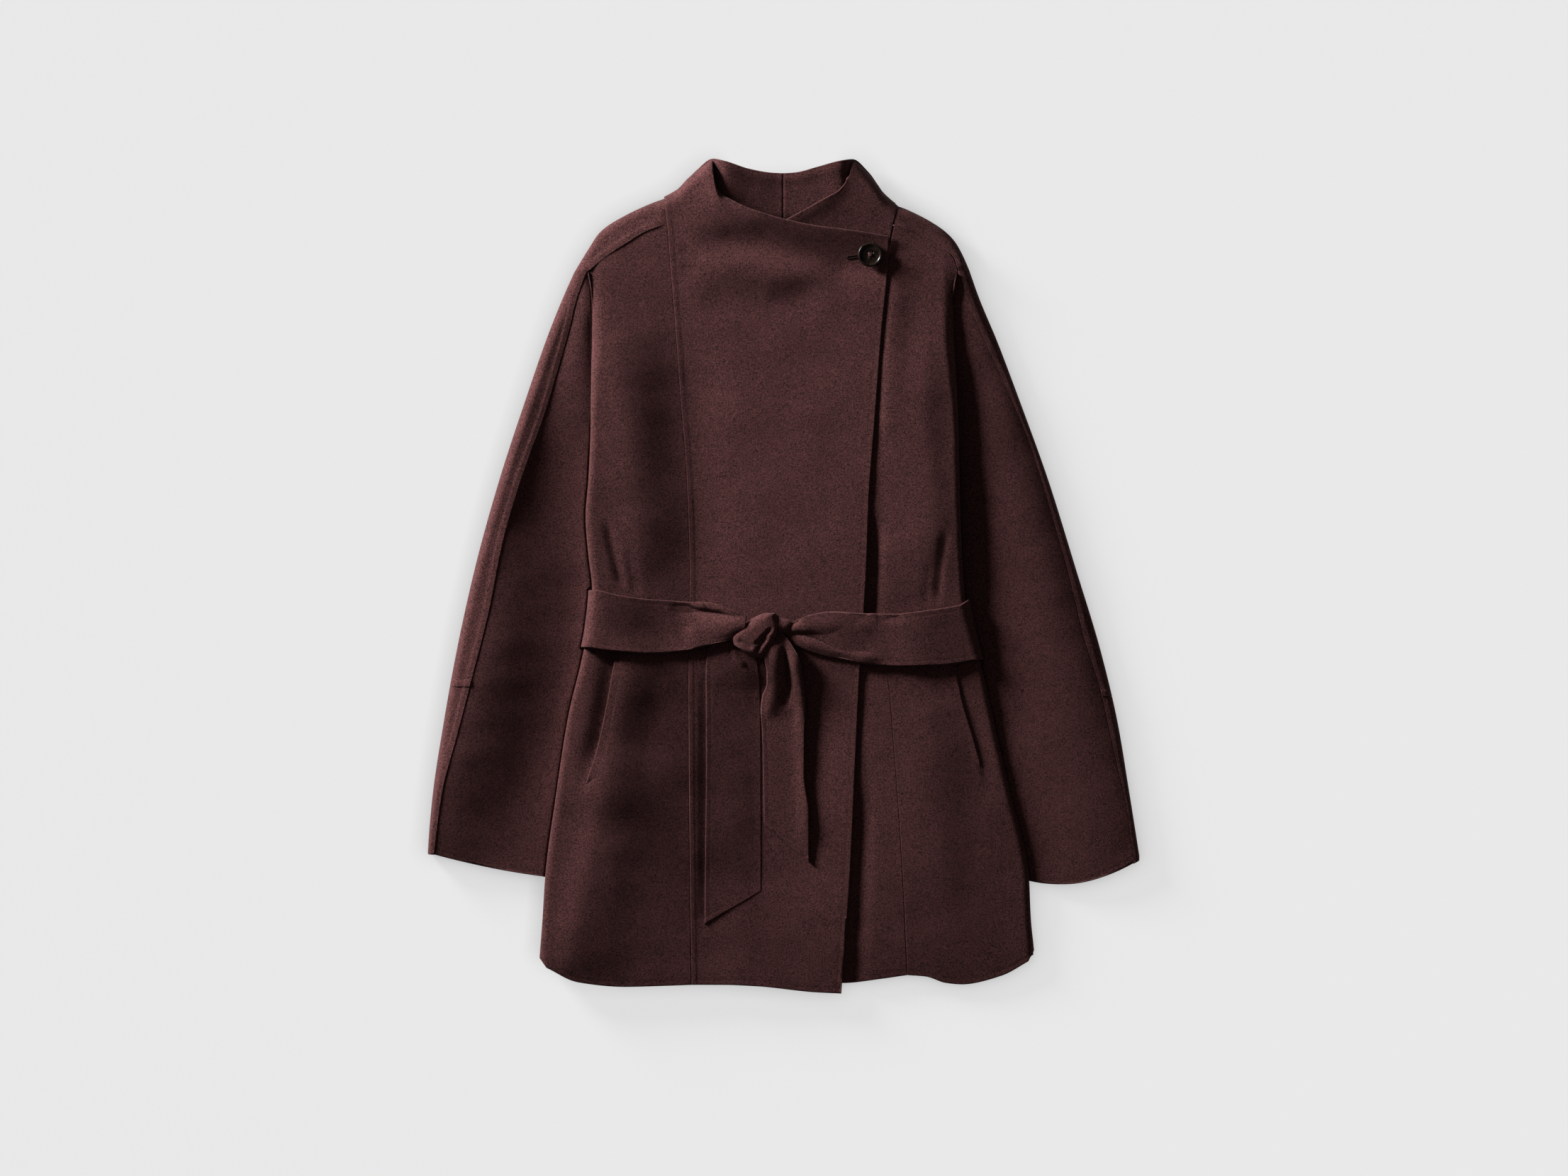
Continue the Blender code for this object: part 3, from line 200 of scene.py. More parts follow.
RIGHT_STRIP = table("u x y", (0, -121.5, 384.5), (0.45, -160, 367), (0.8, -186, 350), (1, -199, 331),
    (1.15, -212.3, 309))
LEFT_STRIP = table("u x y", (0, 117, 377), (0.5, 149, 361), (0.8, 165, 350), (1, 174.5, 340),
    (1.15, 182, 327), (1.3, 189, 311))
RIGHT_FRONT_HEM = table("u x y", (0, -93, -415), (0.25, -60, -415), (0.5, -25, -416.5), (0.8, 30, -422.5),
    (1, 59, -424))
LEFT_FRONT_HEM = table("u x y", (0, -56, -411), (0.65, 62, -413.5), (0.85, 98, -409.5), (1, 126, -405.5))
RIGHT_NECKLINE = table("u x y", (0, -121.5, 386), (0.05, -108, 393.5), (0.1, -97, 405), (0.15, -84, 415.5),
    (0.2, -72, 424), (0.24, -70.5, 408), (0.29, -66, 392), (0.36, -50, 381), (0.46, -25, 369.5),
    (0.56, 0, 362), (0.7, 35, 355), (0.85, 72, 350.5), (1, 107.5, 345))
LEFT_NECKLINE = table("u x y", (0, -56, 332), (0.15, -25, 347), (0.3, 3, 362), (0.4, 20, 371),
    (0.5, 40, 382.5), (0.58, 57, 392), (0.65, 66, 405), (0.71, 71, 423.5), (0.8, 84, 413), (0.87, 95, 400),
    (0.94, 104, 387.5), (1, 116.5, 377))
NECK_SEAM = table("u x y", (0, -117, 357), (0.25, -60, 352), (0.5, 0, 350), (0.75, 60, 352),
    (1, 112.5, 357))
RIGHT_COLLAR_TOP = table("u x y", (0, 0, 409), (0.1, -12, 409.6), (0.3, -35, 413.5), (0.52, -60, 421.5),
    (0.6, -71, 424), (0.72, -88, 412.5), (0.86, -105, 395.5), (1, -120.5, 386))
LEFT_COLLAR_TOP = table("u x y", (0, 0, 409), (0.1, 12, 409.8), (0.3, 35, 415.5), (0.52, 60, 422),
    (0.6, 70, 423.5), (0.72, 86, 411), (0.86, 101, 391), (1, 115.5, 377.5))

# How far the necklines roll inward, and how high the back of the collar stands, by the same share
RIGHT_NECK_ROLL = table("u share", (0, 1), (0.18, 1), (0.23, 0.75), (0.29, 0.42), (0.36, 0.16), (0.45, 0))
LEFT_NECK_ROLL = table("u share", (0.65, 0), (0.72, 1), (1, 1))
COLLAR_STAND = table("u z", (0, 17), (0.3, 20), (0.5, 23), (0.56, 19), (0.61, 13), (0.66, 7.5), (0.85, 0),
    (1, 0))

# Height of the fronts' outer face across the body, and of the sleeves' from the seam to the inner side
LOFT = table("y right mid_right middle mid_left left", (-415, 16, 15.5, 11, 8.5, 8.5),
    (-360, 22, 18, 10.5, 12.5, 11.5), (-220, 26.5, 22, 10, 15, 15), (-110, 25.5, 22, 12.5, 16.5, 17),
    (-50, 25, 15.5, 13, 18, 20), (20, 23, 14, 14, 20, 25), (180, 23, 15, 15.5, 20, 26),
    (235, 21, 15.5, 15.8, 19, 23), (290, 19.2, 16.5, 19, 18.5, 20), (350, 16.5, 19.5, 22, 19.5, 15),
    (386, 15.5, 19.5, 24, 21.5, 15), (424, 15, 18, 24, 22, 15))
RIGHT_SLEEVE_LOFT = table("y seam outer inner rim fall", (-290, 15, 14, 11, 11, 0.2),
    (-200, 26, 25.5, 8, 11, 0.28), (-112, 27, 28, 7, 11, 0.16), (-50, 26, 25, 8, 11.5, 0.08),
    (40, 25, 20.5, 10.5, 12.5, 0), (110, 22, 15.5, 13, 13, -0.14), (165, 18, 15.5, 15.5, 14, -0.2),
    (240, 15.5, 16.5, 17, 14.5, -0.18), (283, 15.5, 16, 16.5, 16, 0), (309, 16.5, 16.2, 15.8, 15.4, 0.12))
LEFT_SLEEVE_LOFT = table("y seam outer inner rim fall", (-290, 11.5, 13, 8.5, 7, 0.12),
    (-200, 12, 17, 9.2, 9, 0.12), (-112, 12.5, 19, 9.7, 9.5, 0.12), (-50, 13, 20, 10.2, 10, 0.12),
    (40, 13, 20, 11.5, 10, 0.12), (145, 13, 18.5, 13.5, 10.5, 0.12), (240, 13.5, 15, 13, 11, 0.12),
    (283, 14.8, 14.4, 13.8, 13.2, 0.12), (309, 16.5, 16.2, 15.8, 15.4, 0.12))

# Height of the lower edges of the sleeves' and the body's sides
SLEEVE_FOOT = table("y z", (-303, FOOT), (108, FOOT), (145, 8.8), (178, 10), (262, 10), (285, 11.8),
    (309, 14.2))
SIDE_FOOT = table("y z", (-420, FOOT), (104, FOOT), (150, 13.4), (262, 13.4), (285, 15), (300, 16.3),
    (320, 16.8))

# Folds and creases: the layer they are in, their route, the half width on its left and right, and the height.
# Routes run upward or to the right, so left is outward to -X, or upward.
FOLDS = table(
    "layer route left right height",
    ("all", ((-92, -150), (-90, -40), (-86, 60), (-102, 200), (-118, 285)), 34, 72, -3.0),
    ("all", ((-137, -16), (-142, 60), (-156, 150), (-172, 290)), 26, 34, 4.4),
    ("all", ((156, -30), (150, 60), (140, 150), (138, 270)), 45, 20, 4.0),
    ("all", ((-102, 346), (-60, 340), (-20, 336), (20, 326), (60, 314), (112, 306)), 17, 15, -6.6),
    ("all", ((-95, 318), (-20, 306), (60, 312)), 15, 13, 1.8),
    ("all", ((-92, 296), (-15, 274), (52, 294)), 16, 24, -2.9),
    ("all", ((-222, -430), (-200, -330), (-178, -225), (-166, -150)), 23, 48, 5.8),
    ("all", ((-200, -260), (-172, -150), (-150, -50)), 55, 48, 6.0),
    ("all", ((168, -350), (150, -200), (142, -95)), 34, 26, 3.0),
    ("under", ((-204, -226), (-198.5, -210), (-188.5, -180), (-183, -157), (-177.5, -130), (-169.5, -84),
               (-160, -25)), 14, 2.3, -6.2),
    ("under", ((211.5, -228), (202, -196), (193.5, -165), (182.5, -128), (173.5, -88), (164, -45)),
     1.6, 18, -1.5),
    ("all", ((-18, -370), (-8, -235), (16, -165), (34, -84)), 62, 50, -5.2),
    ("over", ((-84, 450), (-76, 416), (-61, 388), (-30, 372), (20, 359), (120, 344)), 12, 15, 4.0),
    ("under", ((-8, 355), (40, 382), (68, 414)), 11, 11, 2.5),
    ("all", ((-163, -18), (-170, 12), (-182, 60)), 3.5, 6, -1.7),
    ("all", ((-149, -22), (-153, 2), (-160, 30)), 4, 6, -0.9),
    ("all", ((156, -34), (159, 6), (166, 52)), 6, 3.5, -1.7),
    ("all", ((144, -36), (146, -8), (150, 20)), 5, 4, -0.6),
    ("all", ((-105, 335), (-92, 328), (-80, 322)), 3, 4, -1.3),
    ("all", ((-105, 315), (-95, 312), (-85, 310)), 3, 4, -1.0),
    ("all", ((-170, -106), (-70, -120), (24, -119)), 26, 95, -5.0),
    ("belt_right", ((-104, -62), (-70, -51), (-38, -44)), 10, 14, 2.6),
    ("belt_right", ((-176, -130), (-178, -50), (-178, 30)), 20, 36, 4.0),
    ("belt_right", ((-138, -122), (-116, -52), (-92, 0)), 32, 24, -2.0),
    ("belt_right", ((-118, -31), (-74, -35.5), (-40, -45)), 4, 6, -3.2),
    ("belt_right", ((-96, -28), (-62, -32.5), (-34, -41)), 3, 3, 2.6),
    ("belt_left", ((-20, -55), (12, -57.5), (30, -59), (48, -64), (82, -72)), 2.5, 4, -5.0),
    ("belt_left", ((2, -56), (9, -50), (19, -43)), 2, 2.5, -3.0),
    ("belt_left", ((8, -53), (28, -49), (60, -49), (98, -53)), 10, 9, 2.2),
    ("belt_left", ((8, -61), (26, -68), (52, -76.5), (104, -86)), 4, 5, 3.2),
    ("belt_left", ((62, -100), (66, -58), (70, -10)), 22, 18, -2.8),
    ("belt_left", ((138, -140), (138, -60), (138, 20)), 30, 26, 3.0),
    ("belt_left", ((92, -41), (107, -42), (124, -40)), 4, 6, -1.6),
    ("tail_left", ((1, -136), (6, -110), (4, -88), (-1, -64)), 5, 4, -7.0),
    ("tail_left", ((-17, -150), (-10, -112), (-9, -64)), 6, 9, 2.6),
    ("tail_left", ((21, -160), (16, -112), (8, -66)), 5, 4, 2.0),
    ("tail_right", ((-30, -370), (-31, -210), (-32, -70)), 34, 9, -1.8),
    ("tail_right", ((-53, -72), (-47, -83), (-38, -92)), 2.2, 2.2, 1.3),
    ("under", ((87, -110), (89, -30), (93, 70)), 10, 8, -4.0),
    ("under", ((104, 120), (107, 220), (116, 330)), 8, 14, 2.2),
    ("under", ((68, -470), (76, -340), (84, -190)), 8, 10, -2.4),
    ("over", ((-88, -375), (-88, -200), (-87, -60)), 26, 5, 1.6),
    ("tail_left", ((25, -285), (21.5, -200), (20, -116)), 8, 5, 2.6),
    ("knot", ((-30, -71), (-20, -61), (-10.5, -51)), 1.8, 2.4, -2.8),
    ("knot", ((-29, -79), (-23, -70), (-15.5, -60)), 1.8, 2.4, -2.8),
    ("knot", ((-47, -64), (-38, -69), (-30, -74)), 3, 3, -1.6),
)

# Pocket mouths, belt stretches and belt ends
RIGHT_POCKET = table("s x y", (0, -171, -84), (0.35, -179, -130), (0.7, -190, -180), (1, -200, -210))
LEFT_POCKET = table("s x y", (0, 174.5, -93), (0.35, 182, -128), (0.7, 193, -165), (1, 201.5, -196))
BELT_RIGHT = table("x high low", (-186, -14, -72.5), (-165, -19.5, -76.5), (-140, -23, -78.5),
    (-100, -25.5, -76), (-80, -27, -71), (-64, -31, -66.5), (-52, -35.5, -63), (-38, -42, -58))
BELT_LEFT = table("x high low", (-12, -42, -57), (2, -45, -59), (8, -46.5, -63), (15, -44, -69.5),
    (28, -39, -76), (50, -35.5, -82), (85, -37.5, -88.5), (115, -37.5, -91), (150, -33.5, -90),
    (174, -29, -85))
TAIL_RIGHT = table("y left right", (-62, -70, -30), (-76, -77, -28), (-90, -78.5, -26), (-104, -79, -24),
    (-200, -79, -22.5), (-318, -80, -22.5), (-353, -80, -22.5))
TAIL_LEFT = table("y left right", (-50, -14, -8), (-58, -15, -1), (-66, -17, 6.5), (-74, -19, 11.5),
    (-84, -19, 16), (-96, -16.5, 18.5), (-108, -16.5, 20), (-122, -21.5, 21.3), (-135, -23, 22),
    (-160, -21.5, 21.5), (-200, -20.5, 21.5), (-240, -20, 25.5), (-291, -19.5, 26.5))

# Knot: the two long edges of the band that is wound round, from its upper right to its lower left
KNOT_UPPER = table("s x y", (0, -9, -34.5), (0.25, -21, -37.5), (0.5, -34, -44), (0.78, -47, -54),
    (1, -54.5, -61.5))
KNOT_LOWER = table("s x y", (0, -4, -46), (0.22, -6.5, -60), (0.45, -15, -76), (0.58, -21, -83.5),
    (0.72, -31, -81.5), (1, -50, -72))

# The button's half section, from the middle of its dish over the rim and round to its underside
BUTTON_PROFILE = table("radius z", (0, 3.3), (5, 3.25), (8.6, 3.3), (9.3, 3.5), (9.9, 4.1), (10.4, 4.5),
    (11, 4.6), (11.6, 4.45), (12.1, 3.9), (12.45, 3), (12.5, 2.4), (12.2, 1.4), (11.3, 0.6), (9, 0), (0, 0))


def blend(t, start, end, rise, fall):
    """Cubic from start to end, leaving at the slope rise and arriving at the slope fall."""
    bend = 3 * (end - start) - 2 * rise - fall
    return start + t * (rise + t * (bend + t * (2 * (start - end) + rise + fall)))


def curve(rows, name):
    """A smooth line through a table's points, by its first column, that never swings past them."""
    keys, values = column(rows, rows[0]._fields[0]), column(rows, name)
    order = np.argsort(keys)
    keys, values = keys[order], values[order]
    gaps = np.diff(keys)
    rates = np.diff(values) / gaps
    slopes = np.concatenate((rates[:1], np.zeros(len(keys) - 2), rates[-1:]))
    for i in range(1, len(keys) - 1):
        if rates[i - 1] * rates[i] > 0:
            before, after = 2 * gaps[i] + gaps[i - 1], gaps[i] + 2 * gaps[i - 1]
            slopes[i] = (before + after) / (before / rates[i - 1] + after / rates[i])

    def at(k):
        k = np.clip(k, keys[0], keys[-1])
        i = np.clip(np.searchsorted(keys, k, side="right") - 1, 0, len(keys) - 2)
        t = (k - keys[i]) / gaps[i]
        return blend(t, values[i], values[i + 1], slopes[i] * gaps[i], slopes[i + 1] * gaps[i])

    return at


def smoothstep(t):
    t = np.clip(t, 0, 1)
    return t * t * (3 - 2 * t)


def ramp(value, start, length):
    """Eases from 0 at start to 1 a length further on."""
    return smoothstep((value - start) / length)


def plateau(value, low, high, ease):
    """1 between low and high, easing to 0 outside them."""
    return 1 - smoothstep(np.maximum(low - value, value - high) / ease)


def bell(distance, width):
    return np.exp(-(distance / width) ** 2)


def pair(x, y):
    return np.stack(np.broadcast_arrays(x, y), axis=-1).astype(float)


def lift(plan, z):
    return np.concatenate((plan, np.asarray(z, float)[:, None]), axis=1)


def length_of(vectors):
    return np.linalg.norm(vectors, axis=-1, keepdims=True)


def unit(vectors):
    return vectors / np.maximum(length_of(vectors), TINY)


def apart(first, second):
    return np.linalg.norm(first - second, axis=1)


right_side, left_side = curve(RIGHT_SIDE, "x"), curve(LEFT_SIDE, "x")
right_princess, left_princess = curve(RIGHT_PRINCESS, "x"), curve(LEFT_PRINCESS, "x")
overlap_edge = curve(OVERLAP_EDGE, "x")
loft_columns = [curve(LOFT, name) for name in LOFT[0]._fields[1:]]
collar_stand, sleeve_foot, side_foot = (curve(rows, "z") for rows in (COLLAR_STAND, SLEEVE_FOOT, SIDE_FOOT))
back_row, front_row = curve(BACK_ROWS, "inner"), curve(FRONT_ROWS, "inner")


def side_roll(y):
    """Radius of the turn at the body's sides, wider towards the shoulders."""
    return SIDE_ROLL + (SHOULDER_ROLL - SIDE_ROLL) * ramp(y, ROLL_LOW, ROLL_RAMP)


def hidden_edge(y):
    """The lower front's edge, hidden under the lapping front."""
    return np.full_like(y, HIDDEN_EDGE_X)


def armhole_line(y, below, armhole, shift=0.0):
    """A back edge that leaves the line below at the armpit and goes on along the armhole's straight lines."""
    above = np.interp(y, column(armhole, "y"), column(armhole, "x")) + shift
    return below + (above - below) * ramp(y, ARMPIT_Y, ARMPIT_RAMP)


def back_rise(y):
    """How far the back is lifted by the belt behind it."""
    return BAND_RISE * plateau(y, BAND_LOW, BAND_HIGH, BAND_RAMP)


def fold_height(x, y, *layers):
    """Sum of the folds at a point, each a soft ridge or trough that fades out at both ends of its route."""
    total = np.zeros_like(x)
    for fold in FOLDS:
        if fold.layer not in layers:
            continue
        route = np.array(fold.route, float)
        steps = np.diff(route, axis=0)
        lengths = np.hypot(steps[:, 0], steps[:, 1])
        starts = np.concatenate(([0], np.cumsum(lengths)))
        nearest = np.full_like(x, np.inf)
        share, turn = np.zeros_like(x), np.zeros_like(x)
        for i, step in enumerate(steps):
            right, up = x - route[i, 0], y - route[i, 1]
            t = np.clip((right * step[0] + up * step[1]) / lengths[i] ** 2, 0, 1)
            distance = np.hypot(right - t * step[0], up - t * step[1])
            closer = distance < nearest
            nearest = np.where(closer, distance, nearest)
            share = np.where(closer, (starts[i] + t * lengths[i]) / starts[-1], share)
            turn = np.where(closer, step[0] * up - step[1] * right, turn)
        fade = smoothstep(share / FOLD_FADE) * smoothstep((1 - share) / FOLD_FADE)
        total += fold.height * fade * bell(nearest, np.where(turn > 0, fold.left, fold.right))
    return total


def ripple_waves():
    """Seeded long waves: wave numbers across and up, phase and height of each."""
    rng = np.random.default_rng(RIPPLE_SEED)
    length = rng.uniform(RIPPLE_SHORT, RIPPLE_LONG, RIPPLE_COUNT)
    heading = rng.uniform(0, math.pi, RIPPLE_COUNT)
    phase = rng.uniform(0, 2 * math.pi, RIPPLE_COUNT)
    number = 2 * math.pi / length
    return list(zip(number * np.cos(heading), number * np.sin(heading), phase, length * RIPPLE_STEEPNESS))


RIPPLES = ripple_waves()


def ripple(x, y):
    """Slight unevenness of cloth that lies loose."""
    return sum(height * np.sin(across * x + up * y + phase) for across, up, phase, height in RIPPLES)


def raised_strip(distance, width, height, ease):
    """A seam's turnings: a strip raised by height beside the seam, with a soft step at its far side."""
    return height * (1 - ramp(distance, width, ease))


def border_line(distance):
    """The shallow line that hand sewing leaves along a turned border."""
    return -BORDER_DEPTH * bell(distance - BORDER_AT, BORDER_HALF)


def front_height(x, y, layer="under"):
    """Outer face of the lapping front (over) or of the lower ones (under, or bed without their own folds)."""
    x, y = np.broadcast_arrays(np.asarray(x, float), np.asarray(y, float))
    last = len(loft_columns) - 1
    across = last * np.clip((x - right_side(y)) / (left_side(y) - right_side(y)), 0, 1)
    heights = np.stack([at(y) for at in loft_columns])
    slopes = np.gradient(heights, axis=0)
    i = np.clip(across.astype(int), 0, last - 1)
    start, rise, end, fall = (np.take_along_axis(rows, i[None] + step, 0)[0]
                              for step in (0, 1) for rows in (heights, slopes))
    z = blend(across - i, start, end, rise, fall) + fold_height(x, y, "all", layer) + ripple(x, y)
    z = LEAST_LAY + LAY_EASE * np.logaddexp(0, (z - LEAST_LAY) / LAY_EASE)
    if layer == "over":
        return z + OVER_STEP * ramp(x, right_princess(y), LAP_REACH)
    hidden = ramp(overlap_edge(y) - OVER_RAMP / 2, x, OVER_RAMP)
    hidden = hidden * ramp(x, right_princess(y) + OVER_RAMP, OVER_RAMP)
    sink = HIDDEN_SINK + (COLLAR_SINK - HIDDEN_SINK) * ramp(y, COLLAR_SINK_LOW, SINK_RAMP)
    return z - sink * hidden * ramp(COLLAR_SINK_HIGH, y, SINK_RAMP)


def bed_height(x, y):
    """What the belt lies on: the lapping front, and past its edge the front below it, with no sharp step."""
    past = smoothstep((x - overlap_edge(y)) / BED_RAMP + 0.5)
    return front_height(x, y, "over") * (1 - past) + front_height(x, y, "bed") * past


def seam_edge(line, low, high):
    """A long edge of a panel, on a seam between two heights."""
    def at(v):
        y = low + (high - low) * v
        return pair(line(y), y)
    return at


def path_edge(rows):
    """A short edge of a panel, through a table's points."""
    x, y = curve(rows, "x"), curve(rows, "y")
    return lambda u: pair(x(u), y(u))


def patch(start, end, hem, head, reach=PATCH_REACH):
    """Plan of a panel inside its four edges. Its short edges' bends fade out over a share of its length."""
    zero, one = np.zeros(1), np.ones(1)

    def at(u, v):
        share = u[:, None]
        body = (1 - share) * start(v) + share * end(v)
        low = hem(u) - (1 - share) * start(zero) - share * end(zero)
        high = head(u) - (1 - share) * start(one) - share * end(one)
        near_low = np.clip(1 - v / reach, 0, 1)[:, None] ** 2
        near_high = np.clip(1 - (1 - v) / reach, 0, 1)[:, None] ** 2
        return body + near_low * low + near_high * high

    return at


def spread(length, step=STEP, first=0.0, last=0.0):
    """Shares from 0 to 1, about step apart, and closer within the first and last margins."""
    def run(low, high, gap):
        return list(np.linspace(low, high, max(2, round((high - low) / gap) + 1)))[:-1]

    places = run(0, first, FINE_STEP) if first else []
    places += run(first, length - last, step)
    places += run(length - last, length, FINE_STEP) if last else []
    return np.array([*places, length]) / length


def next_share(start, count):
    """The places of count more samples, evenly from start to one further on."""
    return np.linspace(start, start + 1, count + 1)[1:]


def border_loop(columns, rows):
    """Column and row of each point along a grid's border, once round."""
    up, over = np.arange(rows), np.arange(columns)
    i = np.concatenate((over[:-1], np.full(rows - 1, columns - 1), over[:0:-1], np.zeros(rows - 1, int)))
    j = np.concatenate((np.zeros(columns - 1, int), up[:-1], np.full(columns - 1, rows - 1), up[:0:-1]))
    return i, j


def shell_mesh(name, surface, across, along, wall, grow, seams=()):
    """A closed shell on a grid placed on surface(u, v), in millimetres, with half-round borders.

    grow is 1 to add the wall on the side that the grid faces, -1 for the other side. seams names the
    borders that are sewn to a neighbour, which are rounded less than free ones.
    """
    columns, rows = len(across), len(along)
    u, v = (values.ravel() for values in np.meshgrid(across, along, indexing="ij"))
    face = surface(u, v).reshape(columns, rows, 3)
    normal = unit(np.cross(np.gradient(face, axis=0), np.gradient(face, axis=1)))
    middle = face + normal * (grow * wall / 2)
    i, j = border_loop(columns, rows)
    outward = middle[i, j] - middle[np.clip(i, 1, columns - 2), np.clip(j, 1, rows - 2)]
    outward = unit(outward - normal[i, j] * np.sum(outward * normal[i, j], axis=1, keepdims=True))
    borders = {"first": i == 0, "last": i == columns - 1, "low": j == 0, "high": j == rows - 1}
    reach = np.full((len(i), 1), min(ROUNDING, ROUNDING_SHARE * wall))
    for seam in seams:
        reach[borders[seam]] = SEAM_ROUNDING
    middle[i, j] -= outward * reach
    turns = np.linspace(0, math.pi, ROUNDING_SEGMENTS + 1)[1:-1]
    rims = [middle[i, j] + normal[i, j] * (wall / 2 * math.cos(turn)) + outward * (reach * math.sin(turn))
            for turn in turns]
    half = normal * (wall / 2)
    points = np.concatenate([(middle + half).reshape(-1, 3), (middle - half).reshape(-1, 3), *rims])
    return mesh_from(name, points, shell_faces(columns, rows, i, j, len(turns)).tolist())


def shell_faces(columns, rows, i, j, rims):
    """Quads of a shell's upper face, its lower face, and the rings of its border between them."""
    count = columns * rows
    over, up = np.meshgrid(np.arange(columns - 1), np.arange(rows - 1), indexing="ij")
    corner = (over * rows + up).ravel()
    upper = np.stack((corner, corner + rows, corner + rows + 1, corner + 1), axis=1)
    border = i * rows + j
    between = [2 * count + k * len(border) + np.arange(len(border)) for k in range(rims)]
    rings = [border, *between, border + count]
    sides = [np.stack((first, second, np.roll(second, -1), np.roll(first, -1)), axis=1)
             for first, second in zip(rings, rings[1:])]
    return np.concatenate([upper, upper[:, ::-1] + count, *sides])


def mesh_from(name, points, faces):
    mesh = bpy.data.meshes.new(name)
    mesh.from_pydata((np.asarray(points) * MM).tolist(), [], faces)
    mesh.shade_smooth()
    return mesh


def mesh_of(name, bm):
    mesh = bpy.data.meshes.new(name)
    bm.to_mesh(mesh)
    bm.free()
    return mesh


def add(name, mesh, material):
    mesh.materials.append(material)
    piece = bpy.data.objects.new(name, mesh)
    bpy.context.scene.collection.objects.link(piece)
    return piece


def cloth(name, surface, across, along, wall, grow, seams=(), nodes=None):
    """One piece of cloth, in place of its nodes."""
    piece = add(name, shell_mesh(name, surface, across, along, wall, grow, seams), wool)
    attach(piece, "root")
    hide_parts(*(nodes or (name,)))


def make_back():
    """The back lies flat and rises over the belt. Its upper corners end at the raglan lines."""
    low, high = BACK_HEM[0].y, NECK_SEAM[0].y

    def edge(side, armhole, sign):
        return seam_edge(lambda y: armhole_line(y, side(y) - sign * BACK_INSET, armhole), low, high)

    plan = patch(edge(right_side, RIGHT_ARMHOLE, -1), edge(left_side, LEFT_ARMHOLE, 1),
                 path_edge(BACK_HEM), path_edge(NECK_SEAM))

    def surface(u, v):
        at = plan(u, v)
        return lift(at, back_rise(at[:, 1]))

    cloth("back", surface, spread(BACK_SPAN, COARSE_STEP), spread(high - low, COARSE_STEP), WALL, 1)


def make_back_collar(name, sign, top):
    """Half of the collar behind the neck, joined to the other half at the centre back."""
    upper, seam = path_edge(top), path_edge(NECK_SEAM)

    def surface(u, v):
        low = seam(0.5 + sign * 0.5 * u) + pair(0, 2 * SEAM_GAP)
        at = low + (upper(u) - low) * v[:, None]
        at[:, 0] += sign * SEAM_GAP * (1 - u)
        stand = collar_stand(u) * (STAND_SHARE * smoothstep(v / STAND_RAMP) + (1 - STAND_SHARE) * v)
        stand = stand + TOP_ROLL * bell(COLLAR_DEPTH * (1 - v) - TOP_ROLL_AT, TOP_ROLL_WIDTH)
        return lift(at, stand + raised_strip(np.abs(at[:, 0]), *WELT))

    along = spread(COLLAR_DEPTH, STEP, 0, FINE_MARGIN)
    cloth(name, surface, spread(COLLAR_SPAN) * COLLAR_END, along, WALL, sign, ("first",))


def make_side_front(name, sign, seam, side, hem, shoulder, ends):
    """A side front: from its princess seam to the body's side, there in a tight roll and straight down."""
    low, high = hem[0].y, shoulder[0].y
    start = seam_edge(lambda y: seam(y) + sign * SEAM_GAP, low, high - SEAM_GAP)
    head = path_edge(shoulder)
    crest_low, crest_high = hem[-1].y, head(np.ones(1))[0, 1] - SEAM_GAP
    edge = seam_edge(side, *ends)

    def crest(v):
        at = edge(v)
        return pair(at[:, 0] - sign * side_roll(at[:, 1]), crest_low + (crest_high - crest_low) * v)

    plan = patch(start, crest, path_edge(hem), head)

    def surface(u, v):
        flat = np.minimum(u, 1)
        at = plan(flat, v)
        z = front_height(at[:, 0], at[:, 1]) + border_line(apart(plan(flat, np.zeros_like(v)), at))
        turn = np.clip(2 * u - 2, 0, 1) * math.pi / 2
        out = np.sin(turn)
        at = at + (edge(v) - crest(v)) * out[:, None]
        top = np.ones_like(v)
        straight = crest(top) + (edge(top) - crest(top)) * out[:, None]
        near_tip = np.clip(1 - (1 - v) / TIP_REACH, 0, 1) ** 2 * (u > 1)
        at = at + (head(1 + (shoulder[-1].u - 1) * out) - straight) * near_tip[:, None]
        y = edge(v)[:, 1]
        foot = side_foot(y) + back_rise(y)
        roll = np.minimum(side_roll(y), z - foot)
        down = np.clip(2 * u - 3, 0, 1)
        at[:, 0] += sign * OVERHANG * np.clip((z - foot) / OVERHANG_DROP, 0, 1) * (out - down)
        return lift(at, z - roll * (1 - np.cos(turn)) - (z - foot - roll) * down)

    across = np.concatenate((spread(PANEL_SPAN, STEP, FINE_MARGIN), next_share(1, SIDE_SAMPLES)))
    along = spread(high - low, STEP, FINE_MARGIN, FINE_MARGIN)
    cloth(name, surface, across, along, WALL, -sign, ("first", "high"))


